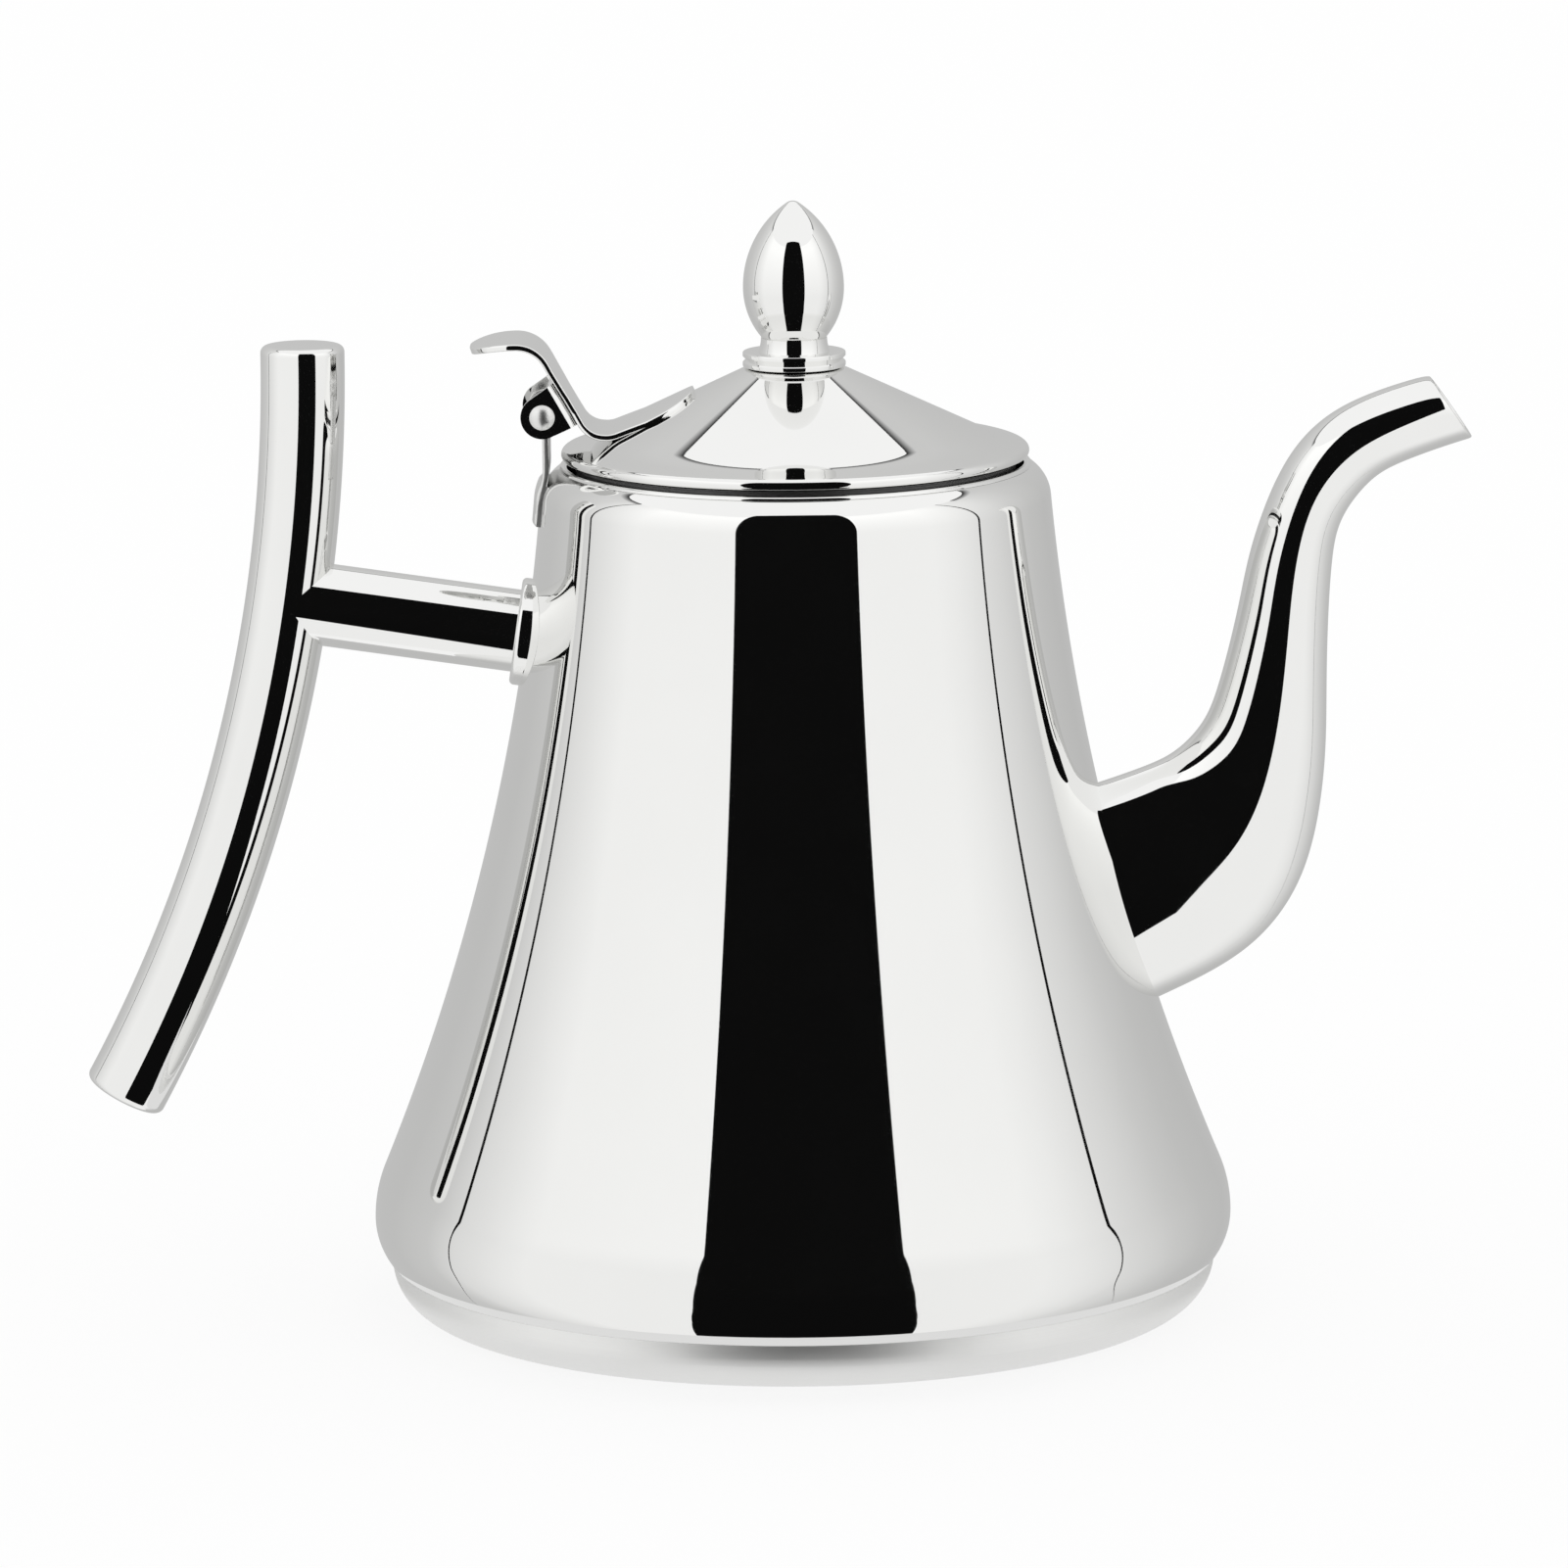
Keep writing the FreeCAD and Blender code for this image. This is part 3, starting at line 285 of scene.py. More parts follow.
def steelFinish(name, colour, dull, bright, ripple, grain):
    # polished or satin steel: roughness wanders between bright and dull, faint ripple, lathe grain
    f = finishSizes
    material = bpy.data.materials.new(name)
    material.use_nodes = True
    tree = material.node_tree
    shader = tree.nodes["Principled BSDF"]
    shader.inputs["Metallic"].default_value = 1.0
    shader.inputs["Base Color"].default_value = (*colour, 1)
    place = addNode(tree, "ShaderNodeTexCoord").outputs["Object"]
    cloud = addNode(tree, "ShaderNodeTexNoise", Vector=place, Scale=f["cloudScale"],
                    Detail=f["cloudDetail"], Roughness=f["cloudRoughness"]).outputs["Fac"]
    rough = mapRange(tree, cloud, f["cloudLow"], f["cloudHigh"], bright, dull)
    shade = [channel * f["cloudShade"] for channel in colour]
    tint = addNode(tree, "ShaderNodeMix", data_type="RGBA", Factor=cloud, A=(*colour, 1), B=(*shade, 1))
    wave = addNode(tree, "ShaderNodeTexNoise", Vector=place, Scale=f["waveScale"], Detail=f["waveDetail"])
    bump = addNode(tree, "ShaderNodeBump", Height=wave.outputs["Fac"], Strength=ripple,
                   Distance=f["waveDepth"] * mm)
    if grain:
        # rings of fine lathe lines: noise on the distance from the axis and the height
        flat = addNode(tree, "ShaderNodeVectorMath", place, (1, 1, 0), operation="MULTIPLY")
        reach = addNode(tree, "ShaderNodeVectorMath", flat.outputs["Vector"], operation="LENGTH")
        height = addNode(tree, "ShaderNodeSeparateXYZ", place).outputs["Z"]
        ring = addNode(tree, "ShaderNodeCombineXYZ", reach.outputs["Value"], height)
        lines = addNode(tree, "ShaderNodeTexNoise", Vector=ring.outputs["Vector"],
                        Scale=f["grainScale"], Detail=f["grainDetail"])
        bump = addNode(tree, "ShaderNodeBump", Height=lines.outputs["Fac"], Normal=bump.outputs["Normal"],
                       Strength=grain, Distance=f["grainDepth"] * mm)
    feeds = {"Roughness": rough, "Base Color": tint.outputs["Result"], "Normal": bump.outputs["Normal"]}
    for socket, feed in feeds.items():
        tree.links.new(feed, shader.inputs[socket])
    return material


mirrorSteel = steelFinish("mirrorSteel", (0.90, 0.90, 0.89), 0.035, 0.012, 0.02, 0.0)
satinSteel = steelFinish("satinSteel", (0.92, 0.92, 0.91), 0.54, 0.46, 0.02, 0.25)
rivetSteel = steelFinish("rivetSteel", (0.84, 0.84, 0.83), 0.36, 0.28, 0.02, 0.0)
# darker steel for parts inside the kettle; the darkness is painted shade of the hollows they sit in
innerShadeSteel = steelFinish("innerShadeSteel", (0.58, 0.58, 0.57), 0.42, 0.30, 0.02, 0.35)
# painted shade: near-black steel for the lid's skirt, so the gap between the lid's rim and the bead reads
# dark
paintedShadeSteel = steelFinish("paintedShadeSteel", (0.20, 0.20, 0.20), 0.55, 0.42, 0.02, 0.35)
rolledAluminium = steelFinish("rolledAluminium", (0.80, 0.80, 0.81), 0.45, 0.35, 0.02, 0.0)
print("finishes made")


# Body wall: arcs from the crease over the belly and the long hollow flare to the rolled bead

wallSizes = {
    "bellyRadius": 82.5, "bellyHeight": 17.9, "creaseInset": 3.2, "baseHeight": 9.8,
    "bellyBend": 23.8, "neckRadius": 48.67, "neckHeight": 157.3, "neckLean": 5.1,
    "shoulderBend": 7.5, "shoulderTurn": 65.0, "thickness": 0.8, "beadWire": 0.8, "steps": 288,
}


def wallArcs(w):
    # centre and radius of four arcs that each touch the next
    # the flare's radius follows from touching the belly's arc and passing the neck at its lean
    neck, bend, leanX, leanZ = w["neckRadius"], w["bellyBend"], cosine(w["neckLean"]), sine(w["neckLean"])
    drop = w["bellyHeight"] - w["baseHeight"]
    cornerBend = (w["creaseInset"] ** 2 + drop ** 2) / (2 * w["creaseInset"])
    corner = (w["bellyRadius"] - cornerBend, w["bellyHeight"])
    belly = (w["bellyRadius"] - bend, w["bellyHeight"])
    across, up = neck - belly[0], w["neckHeight"] - belly[1]
    flareBend = (across ** 2 + up ** 2 - bend ** 2) / (2 * (bend - across * leanX - up * leanZ))
    flare = (neck + flareBend * leanX, w["neckHeight"] + flareBend * leanZ)
    turn = math.degrees(math.atan2(flare[1] - belly[1], flare[0] - belly[0]))
    shoulder = (neck - w["shoulderBend"] * leanX, w["neckHeight"] - w["shoulderBend"] * leanZ)
    return {"corner": (corner, cornerBend, drop), "belly": (belly, bend, turn),
            "flare": (flare, flareBend), "shoulder": (shoulder, w["shoulderBend"])}


arcs = wallArcs(wallSizes)


def wallRun(inset):
    # the wall's outline (radius, height) at a depth below its outer face, from crease to shoulder
    w = wallSizes
    corner, cornerBend, drop = arcs["corner"]
    belly, bellyBend, turn = arcs["belly"]
    flare, flareBend = arcs["flare"]
    shoulder, shoulderBend = arcs["shoulder"]
    low = -math.degrees(math.asin(drop / (cornerBend - inset)))
    return chain(arc(corner, cornerBend - inset, low, 0, 17),
                 arc(belly, bellyBend - inset, 0, turn, 25),
                 arc(flare, flareBend + inset, 180 + turn, 180 + w["neckLean"], 60),
                 arc(shoulder, shoulderBend - inset, w["neckLean"], w["shoulderTurn"], 17))


outerWall = wallRun(0)
shoulderAt, shoulderBend = arcs["shoulder"]
beadReach = shoulderBend - wallSizes["thickness"] / 2
beadX = shoulderAt[0] + beadReach * cosine(wallSizes["shoulderTurn"])
beadZ = shoulderAt[1] + beadReach * sine(wallSizes["shoulderTurn"])
beadTop = beadZ + wallSizes["beadWire"]
mouthRadius = beadX - wallSizes["beadWire"]


def wallRadius(height):
    # radius of the outer face at a height, read from the outline
    return np.interp(height, outerWall[:, 1], outerWall[:, 0])


def makeBody():
    # outer face, bead and inner face as one closed outline, turned about the axis
    w = wallSizes
    half = math.degrees(math.acos(w["thickness"] / 2 / w["beadWire"]))
    bead = arc((beadX, beadZ), w["beadWire"], w["shoulderTurn"] - half, w["shoulderTurn"] + 180 + half, 25)
    solid = turnedGrid(chain(outerWall, bead, wallRun(w["thickness"])[::-1]), w["steps"], True)
    return makePiece("bodyWall", solid, "kettle", mirrorSteel, "body_shell")


# Strainer: holes drilled through the wall behind the spout's root

strainerSizes = {"hole": 4.0, "pitch": 5.4, "rows": {-1: 4, 0: 5, 1: 4}, "steps": 36}


def drillStrainer(wall):
    # a rod for each hole: a circle square to X, run along X from the axis to well outside the wall
    s = strainerSizes
    radius, reach = s["hole"] / 2, wallSizes["bellyRadius"]
    rod = turnedGrid(np.array([(0, 0), (radius, 0), (radius, reach), (0, reach)]), s["steps"], False)
    middle = (spoutSizes["rootTop"] + spoutSizes["rootBottom"]) / 2
    rods = []
    for column, count in s["rows"].items():
        for row in range(count):
            up = middle + (row - (count - 1) / 2) * s["pitch"]
            rods.append(placed(rod, 90, "Y", (0, column * s["pitch"], up)))
    cutter = addMesh("strainerRods", *joined(*rods))
    drill = wall.modifiers.new("strainer", "BOOLEAN")
    drill.operation, drill.solver, drill.object = "DIFFERENCE", "EXACT", cutter
    drilled = bpy.data.meshes.new_from_object(wall.evaluated_get(bpy.context.evaluated_depsgraph_get()))
    wall.modifiers.clear()
    wall.data = drilled
    drilled.set_sharp_from_angle(angle=math.radians(sharpAngle))
    bpy.data.objects.remove(cutter)


# Base: satin cap with a rounded lower corner, and the drawn pan inside

baseSizes = {
    "capWall": 0.7, "capSteps": 25, "coreThickness": 4.1, "panWall": 0.6, "panSteps": 17, "steps": 288,
}


def dish(rim, top, bend, wall, bendSteps):
    # outline of a dish: flat floor, quarter round up to the rim, and the same way back inside the wall
    flat, floor = rim - bend, top - bend
    return chain(line((0, floor), (flat, floor), 12), arc((flat, top), bend, -90, 0, bendSteps),
                 arc((flat, top), bend - wall, 0, -90, bendSteps),
                 line((flat, floor + wall), (0, floor + wall), 12))


def makeBase():
    # two dishes turned about the axis: the cap on the ground, and the pan on the core inside it
    b, top = baseSizes, wallSizes["baseHeight"]
    crease = wallSizes["bellyRadius"] - wallSizes["creaseInset"]
    cap = turnedGrid(dish(crease, top, top, b["capWall"], b["capSteps"]), b["steps"], False)
    makePiece("baseCap", cap, "kettle", satinSteel, "base_cap")
    bend = top - b["capWall"] - b["coreThickness"]
    pan = turnedGrid(dish(crease - b["capWall"], top, bend, b["panWall"], b["panSteps"]), b["steps"], False)
    makePiece("bottomPan", pan, "kettle", innerShadeSteel, "bottom_pan")


# Spout: oval sections through rounded upper and lower edges

spoutSizes = {
    "rootTop": 101.3, "rootBottom": 59.4, "kneeOut": 25.0, "kneeRise": 8.0, "neckRise": 77.7,
    "neckShift": 10.6, "tipOut": 26.4, "tipRise": 6.9, "fan": 60.3, "tipCut": 55.2,
    "crookDepth": 17.7, "tipDepth": 14.1, "rootWidth": 21.5, "neckWidth": 16.6, "tipWidth": 14.0,
    "kneeUpper": 21.1, "kneeLower": 41.9, "crookUpper": 35.2, "crookLower": 21.0,
    "wall": 0.8, "sunk": 0.4, "bendShare": 0.95, "arcSteps": 3, "rows": 150, "columns": 112,
    "searchShare": 0.5, "searchSteps": 500, "lipSteps": 9,
}


def spoutEdge(corners, kneeBend, crookBend):
    # one edge from root to tip, its knee and crook rounded by arcs and a point halfway between them
    s = spoutSizes
    root, knee, crook, tip = corners
    middle = (knee + crook) / 2
    low = roundedCorner(root, knee, middle, kneeBend, s["arcSteps"], s["bendShare"])
    high = roundedCorner(middle, crook, tip, crookBend, s["arcSteps"], s["bendShare"])
    return np.concatenate([[root], low, [(low[-1] + high[0]) / 2], high, [tip]])


def spoutStations():
    # middle, half depth and half width of each section: half the sum and half the difference of its edges
    s = spoutSizes

    def leaning(angle, length):
        # a line that leans back towards the body at an angle above level
        return np.array([-cosine(angle), sine(angle)]) * length

    rootTop = np.array([wallRadius(s["rootTop"]), s["rootTop"]])
    rootBottom = np.array([wallRadius(s["rootBottom"]), s["rootBottom"]])
    root = (rootTop + rootBottom) / 2
    knee = root + (s["kneeOut"], s["kneeRise"])
    crook = knee + (s["neckShift"], s["neckRise"])
    tip = crook + (s["tipOut"], s["tipRise"])
    kneeHalf = leaning(s["fan"], np.linalg.norm(rootTop - rootBottom) / 2)
    crookHalf = leaning(s["fan"], s["crookDepth"] / 2)
    tipHalf = leaning(s["tipCut"], s["tipDepth"] / 2)
    upper = [rootTop, knee + kneeHalf, crook + crookHalf, tip + tipHalf]
    lower = [rootBottom, knee - kneeHalf, crook - crookHalf, tip - tipHalf]
    for edge in (upper, lower):
        # the root runs on into the body, to be trimmed at the wall
        back = edge[0] - edge[1]
        edge[0] = edge[0] + back / np.linalg.norm(back) * s["rootWidth"]
    tops = spoutEdge(upper, s["kneeUpper"], s["crookUpper"])
    bottoms = spoutEdge(lower, s["kneeLower"], s["crookLower"])
    widths = np.interp(np.arange(len(tops)), [0, 1, 2 + s["arcSteps"], len(tops) - 1],
                       [s["rootWidth"], s["rootWidth"], s["neckWidth"], s["tipWidth"]])
    return (tops + bottoms) / 2, (tops - bottoms) / 2, widths / 2


def makeSpout():
    # middle + half depth * cos v + half width * sin v, along a spline; trimmed where it enters the wall
    s = spoutSizes
    middle, half, width = spoutStations()
    depth = np.linalg.norm(half, axis=1, keepdims=True)
    marks = runLength(middle)
    v = aroundCircle(s["columns"])

    def skin(inset, u):
        # u holds one row of marks for each column, so the root can follow the wall
        data = np.concatenate([middle, half * (1 - inset / depth), (width - inset)[:, None]], 1)
        at = np.moveaxis(spline(data, marks, u.ravel()).reshape(*u.shape, 5), -1, 0)
        return gridPoints(at[0] + at[2] * np.cos(v), at[4] * np.sin(v), at[1] + at[3] * np.cos(v))

    def startMarks(inset):
        # where each column last leaves the wall, between two of many marks near the root
        dense = np.linspace(0, marks[-1] * s["searchShare"], s["searchSteps"])
        grid = skin(inset, np.repeat(dense[:, None], s["columns"], 1))
        above = np.hypot(grid[..., 0], grid[..., 1]) - wallRadius(grid[..., 2]) + s["sunk"]
        last = len(dense) - 1 - np.argmax(above[::-1] < 0, axis=0)
        column = np.arange(s["columns"])
        a, b = above[last, column], above[last + 1, column]
        return dense[last] + (dense[1] - dense[0]) * a / (a - b)

    share = np.linspace(0, 1, s["rows"])[:, None]
    lipRound = s["wall"] / 2
    end = marks[-1] - lipRound
    outerStart, innerStart = startMarks(0), startMarks(s["wall"])
    outer = skin(0, outerStart + (end - outerStart) * share)
    inner = skin(s["wall"], innerStart + (end - innerStart) * share)
    lip = []
    for angle in np.linspace(0, 180, s["lipSteps"])[1:-1]:
        at = np.full((1, s["columns"]), end + lipRound * sine(angle))
        lip.append(skin(lipRound * (1 - cosine(angle)), at))
    tube = closedGrid(np.concatenate([outer, *lip, inner[::-1]]))
    makePiece("gooseneckTube", tube, "kettle", mirrorSteel, "spout")


# Handle: bent grip tube with end caps, and an arm on a small flange

handleSizes = {
    "gripRadius": 8.0, "gripWall": 1.2, "gripReach": 93.5, "gripTop": 187.2, "gripBend": 295.0,
    "gripTurn": 28.7, "capThickness": 2.0, "capRound": 1.4, "capSpigot": 4.0, "capClearance": 0.05,
    "armRadius": 7.9, "armWall": 1.2, "armHeight": 131.4, "armRise": 8.5, "armSunk": 0.5,
    "armOverlap": 0.3, "armSearch": (10, 60, 1500), "armRows": 40,
    "flangeRadius": 10.3, "flangeBore": 6.5, "flangeThickness": 2.0, "flangeRound": 0.9,
    "flangeSunk": 0.4, "flangeSearch": (-8, 4, 800), "flangeRows": 8, "rows": 160, "columns": 96,
}
gripCentre = (-handleSizes["gripReach"] - handleSizes["gripBend"],
              handleSizes["gripTop"] - handleSizes["capThickness"])


def makeGrip():
    # a circle carried along an arc in the plane of symmetry: outside, then the bore, joined at both ends
    h = handleSizes
    turn = np.radians(np.linspace(0, -h["gripTurn"], h["rows"]))[:, None]
    v = aroundCircle(h["columns"])
    skins = []
    for radius in (h["gripRadius"], h["gripRadius"] - h["gripWall"]):
        reach = h["gripBend"] + radius * np.cos(v)
        x, z = gripCentre[0] + reach * np.cos(turn), gripCentre[1] + reach * np.sin(turn)
        skins.append(gridPoints(x, radius * np.sin(v), z))
    tube = closedGrid(np.concatenate([skins[0], skins[1][::-1]]))
    makePiece("handleGrip", tube, "kettle", mirrorSteel, "handle_grip")
    # each cap is a turned plug that stands on the end of the tube
    r, t, edge, low = h["gripRadius"], h["capThickness"], h["capRound"], -h["capSpigot"]
    inside = r - h["gripWall"] - h["capClearance"]
    plug = chain(line((0, low), (inside, low), 4), line((inside, low), (inside, 0), 3),
                 line((inside, 0), (r, 0), 3), line((r, 0), (r, t - edge), 3),
                 arc((r - edge, t - edge), edge, 0, 90, 13), line((r - edge, t), (0, t), 8))
    for name, node, along, tilt in (
            ("handleTopCap", "handle_top_cap", 0, 0),
            ("handleBottomCap", "handle_bottom_cap", h["gripTurn"], 180 + h["gripTurn"])):
        move = (gripCentre[0] + h["gripBend"] * cosine(along), 0,
                gripCentre[1] - h["gripBend"] * sine(along))
        cap = placed(turnedGrid(plug, h["columns"], False), tilt, "Y", move)
        makePiece(name, cap, "kettle", mirrorSteel, node)


def makeArm():
    # lines along the arm's axis, each from the flange to where it enters the grip
    h = handleSizes
    axis = np.array([-cosine(h["armRise"]), 0, sine(h["armRise"])])
    square = np.array([sine(h["armRise"]), 0, cosine(h["armRise"])])
    foot = np.array([-wallRadius(h["armHeight"]), 0, h["armHeight"]])
    v = aroundCircle(h["columns"])

    def ringAt(radius):
        # a circle round the foot, square to the axis
        return foot + np.outer(np.cos(v), square) * radius + np.outer(np.sin(v), [0, 1, 0]) * radius

    def carried(ring, along):
        # a ring moved along the axis, by a distance for each row or for each point
        return ring + along[..., None] * axis

    def reachGrip(ring):
        # first place along each line that lies inside the grip's round bar, or the place nearest to it
        along = np.linspace(*h["armSearch"])
        points = carried(ring, along[:, None])
        off = np.hypot(points[..., 0] - gripCentre[0], points[..., 2] - gripCentre[1]) - h["gripBend"]
        depth = np.hypot(off, points[..., 1]) - h["gripRadius"] + h["armSunk"]
        hit = np.where(np.any(depth < 0, axis=0), np.argmax(depth < 0, axis=0), np.argmin(depth, axis=0))
        return along[hit]

    start, share = h["flangeThickness"] - h["armOverlap"], np.linspace(0, 1, h["armRows"])[:, None]
    skins = []
    for ring in (ringAt(h["armRadius"]), ringAt(h["armRadius"] - h["armWall"])):
        skins.append(carried(ring, start + (reachGrip(ring) - start) * share))
    tube = closedGrid(np.concatenate([skins[0][::-1], skins[1]]))
    makePiece("handleArm", tube, "kettle", mirrorSteel, "handle_arm")

    # the flange's side starts a little inside the wall and ends in a rounded edge and a flat face
    r, bore, t, edge = h["flangeRadius"], h["flangeBore"], h["flangeThickness"], h["flangeRound"]
    rim, along = ringAt(r), np.linspace(*h["flangeSearch"])
    points = carried(rim, along[:, None])
    above = np.hypot(points[..., 0], points[..., 1]) - wallRadius(points[..., 2]) + h["flangeSunk"]
    start = along[np.argmax(above > 0, axis=0)]
    side = carried(rim, start + (t - edge - start) * np.linspace(0, 1, h["flangeRows"])[:, None])
    face = chain(arc((r - edge, t - edge), edge, 0, 90, 11), line((r - edge, t), (bore, t), 5),
                 [(bore, -h["flangeSunk"])])[1:]
    rounds = np.stack([ringAt(radius) + lift * axis for radius, lift in face])
    flange = closedGrid(np.concatenate([side, rounds]))
    makePiece("handleFlange", flange, "kettle", mirrorSteel, "handle_flange")


# Lid: flat top, cone, brim and rolled rim

lidSizes = {
    "wall": 0.8, "gap": 0.8, "overhang": 0.39, "rimWire": 1.15, "brimSlope": 14.0, "coneSlope": 25.5,
    "brimWidth": 5.7, "brimBend": 25.0, "flat": 9.0, "screwBore": 2.1,
    "skirtClearance": 1.4, "skirtWall": 0.6, "skirtDepth": 4.4, "steps": 288,
}


def lidPlaces(lid):
    # middle of the rim's wire, start of the brim on it, foot of the cone, and height of the flat top
    wire, slope = lid["rimWire"], lid["brimSlope"]
    rim = (beadX + lid["overhang"] - wire, beadTop + lid["gap"] + wire)
    brim = (rim[0] + wire * sine(slope), rim[1] + wire * cosine(slope))
    foot = (brim[0] - lid["brimWidth"], brim[1] + lid["brimWidth"] * tangent(slope))
    top = foot[1] + (foot[0] - lid["flat"]) * tangent(lid["coneSlope"])
    return {"rim": rim, "brim": brim, "foot": foot, "top": top}


lidAt = lidPlaces(lidSizes)


def lidRun(inset):
    # the lid's outline from its flat top down to the rim, at a depth below its upper face
    foot, brim, radius = lidAt["foot"], lidAt["brim"], lidSizes["brimBend"]
    cone, slope = lidSizes["coneSlope"], lidSizes["brimSlope"]
    reach = radius * tangent((cone - slope) / 2)
    start = (foot[0] - reach * cosine(cone), foot[1] + reach * sine(cone))
    centre = (start[0] + radius * sine(cone), start[1] + radius * cosine(cone))
    bend = arc(centre, radius + inset, 270 - cone, 270 - slope, 13)
    corner = (lidSizes["flat"] - inset * tangent(cone / 2), lidAt["top"] - inset)
    edge = (brim[0] - inset * sine(slope), brim[1] - inset * cosine(slope))
    return chain(line(corner, bend[0], 24), bend, line(bend[-1], edge, 6))


def makeLid():
    # upper face, rim and under face as one closed outline, turned about the axis
    lid, slope = lidSizes, lidSizes["brimSlope"]
    half = math.degrees(math.acos((lid["rimWire"] - lid["wall"]) / lid["rimWire"]))
    crown = 90 - slope
    rim = arc(lidAt["rim"], lid["rimWire"], crown, crown + half - 360, 41)
    top, under = lidRun(0), lidRun(lid["wall"])
    loop = chain(line((lid["screwBore"], lidAt["top"]), top[0], 8), top, rim, under[::-1],
                 line(under[0], (lid["screwBore"], lidAt["top"] - lid["wall"]), 8))
    shell = turnedGrid(loop, lid["steps"], True)
    makePiece("lidShell", shell, "lid", mirrorSteel, "lid_shell")
    # the skirt is a ring with a round lower edge, which follows the brim's under face above
    outer = mouthRadius - lid["skirtClearance"]
    inner, bottom = outer - lid["skirtWall"], beadTop - lid["skirtDepth"]
    brimX, underZ = lidAt["brim"][0], lidAt["brim"][1] - lid["wall"] / cosine(slope)
    high, over = [underZ + (brimX - reach) * tangent(slope) for reach in (outer, inner)]
    ring = chain(line((outer, high), (outer, bottom), 6),
                 arc(((outer + inner) / 2, bottom), lid["skirtWall"] / 2, 0, -180, 9),
                 line((inner, bottom), (inner, over), 6))
    skirt = turnedGrid(ring, lid["steps"], True)
    # the skirt's near-black colour is painted shade for the gap under the rim
    makePiece("lidSkirt", skirt, "lid", paintedShadeSteel, "lid_skirt")


# Knob: grooved collar, waisted ferrule and acorn

knobSizes = {
    "collarRadius": 9.8, "collarThickness": 2.9, "groove": 0.6, "ferruleRadius": 6.3, "ferruleFlare": 0.5,
    "ferruleHeight": 2.6, "finialBase": 6.1, "finialRadius": 9.6, "finialWidest": 9.6, "finialHeight": 26.1,
    "finialTip": 2.0, "bore": 2.1, "boreDepth": 9.1, "steps": 160,
}


def makeKnob():
    # three outlines of lines and arcs, one on the other, turned about the axis
    k, bore = knobSizes, knobSizes["bore"]
    groove, edge, r = k["groove"], k["groove"] / 2, k["collarRadius"]
    low, high = lidAt["top"], lidAt["top"] + k["collarThickness"]
    mid = (low + high) / 2
    collar = chain(line((bore, low), (r - edge, low), 5), arc((r - edge, low + edge), edge, -90, 0, 7),
                   [(r, mid - groove), (r - groove, mid), (r, mid + groove)],
                   arc((r - edge, high - edge), edge, 0, 90, 7), line((r - edge, high), (bore, high), 5))
    # the ferrule's side is an arc that ends upright
    flare, tall = k["ferruleFlare"], k["ferruleHeight"]
    base = high + tall
    waist = (flare ** 2 + tall ** 2) / (2 * flare)
    foot, neck = (k["ferruleRadius"] + flare, high), (k["ferruleRadius"], base)
    ferrule = chain([(bore, high)], arcThrough(foot, neck, waist, "right", 15), [(bore, base)])
    # the acorn's arcs are upright at its widest, and the upper one touches the round of the tip
    widestRadius, tipRound = k["finialRadius"], k["finialTip"]
    side = widestRadius - k["finialBase"]
    lower = (side ** 2 + k["finialWidest"] ** 2) / (2 * side)
    rise = k["finialHeight"] - tipRound - k["finialWidest"]
    upper = (widestRadius ** 2 + rise ** 2 - tipRound ** 2) / (2 * (widestRadius - tipRound))
    share = tipRound / (upper - tipRound)
    tip = ((upper - widestRadius) * share, base + k["finialHeight"] - tipRound + rise * share)
    widest = (widestRadius, base + k["finialWidest"])
    finial = chain([(0, base + k["boreDepth"]), (bore, base + k["boreDepth"]), (bore, base)],
                   arcThrough((k["finialBase"], base), widest, lower, "left", 33),
                   arcThrough(widest, tip, upper, "left", 41),
                   arcThrough(tip, (0, base + k["finialHeight"]), tipRound, "left", 13))
    for name, outline, closed, node in (("knobCollar", collar, True, "knob_collar"),
                                        ("knobFerrule", ferrule, True, "knob_ferrule"),
                                        ("knobFinial", finial, False, "knob_finial")):
        solid = turnedGrid(outline, k["steps"], closed)
        makePiece(name, solid, "lid", mirrorSteel, node)


# Hinge pin: a rivet across the kettle behind the mouth

pinSizes = {
    "back": 3.7, "rise": 10.2, "radius": 1.5, "head": 2.4, "dome": 1.1, "span": 19.0, "steps": 64,
}
pinX = -beadX - pinSizes["back"]
pinZ = beadTop + pinSizes["rise"]


def makePin():
    # a shank between two domes of height d over radius r: ball radius (d * d + r * r) / 2d
    p = pinSizes
    half, r, head, dome = p["span"] / 2, p["radius"], p["head"], p["dome"]
    ball = (dome ** 2 + head ** 2) / (2 * dome)
    rivet = chain(arcThrough((0, -half - dome), (head, -half), ball, "left", 15),
                  [(r, -half), (r, half)], arcThrough((head, half), (0, half + dome), ball, "left", 15))
    pin = placed(turnedGrid(rivet, p["steps"], False), 90, "X", (pinX, 0, pinZ))
    makePiece("hingePin", pin, "lid", rivetSteel, "hinge_pin")


# Hinge strap: eye round the pin, strap below it, and a saddle that lies on the shoulder and the wall

strapSizes = {
    "eyeBore": 1.55, "eyeRadius": 2.85, "eyeOverlap": 0.4, "eyeSteps": 72, "width": 15.6, "plate": 1.3,
    "foot": 2.0, "rows": 24, "edgeRound": 0.35, "saddlePlate": 1.2, "saddleLow": 4.5, "saddleHigh": 3.2,
    "saddleLip": 0.02, "saddleDip": 0.3, "saddleSunk": 0.6, "saddleRows": 31, "saddleColumns": 25,
}


def makeEye():
    # a ring round the pin, with its outer edges rounded
    s = strapSizes
    half, edge, r = s["width"] / 2, s["edgeRound"], s["eyeRadius"]
    ring = chain(line((s["eyeBore"], half), (s["eyeBore"], -half), 3),
                 arc((r - edge, -half + edge), edge, -90, 0, 6), arc((r - edge, half - edge), edge, 0, 90, 6))
    return placed(turnedGrid(ring, s["eyeSteps"], True), 90, "X", (pinX, 0, pinZ))


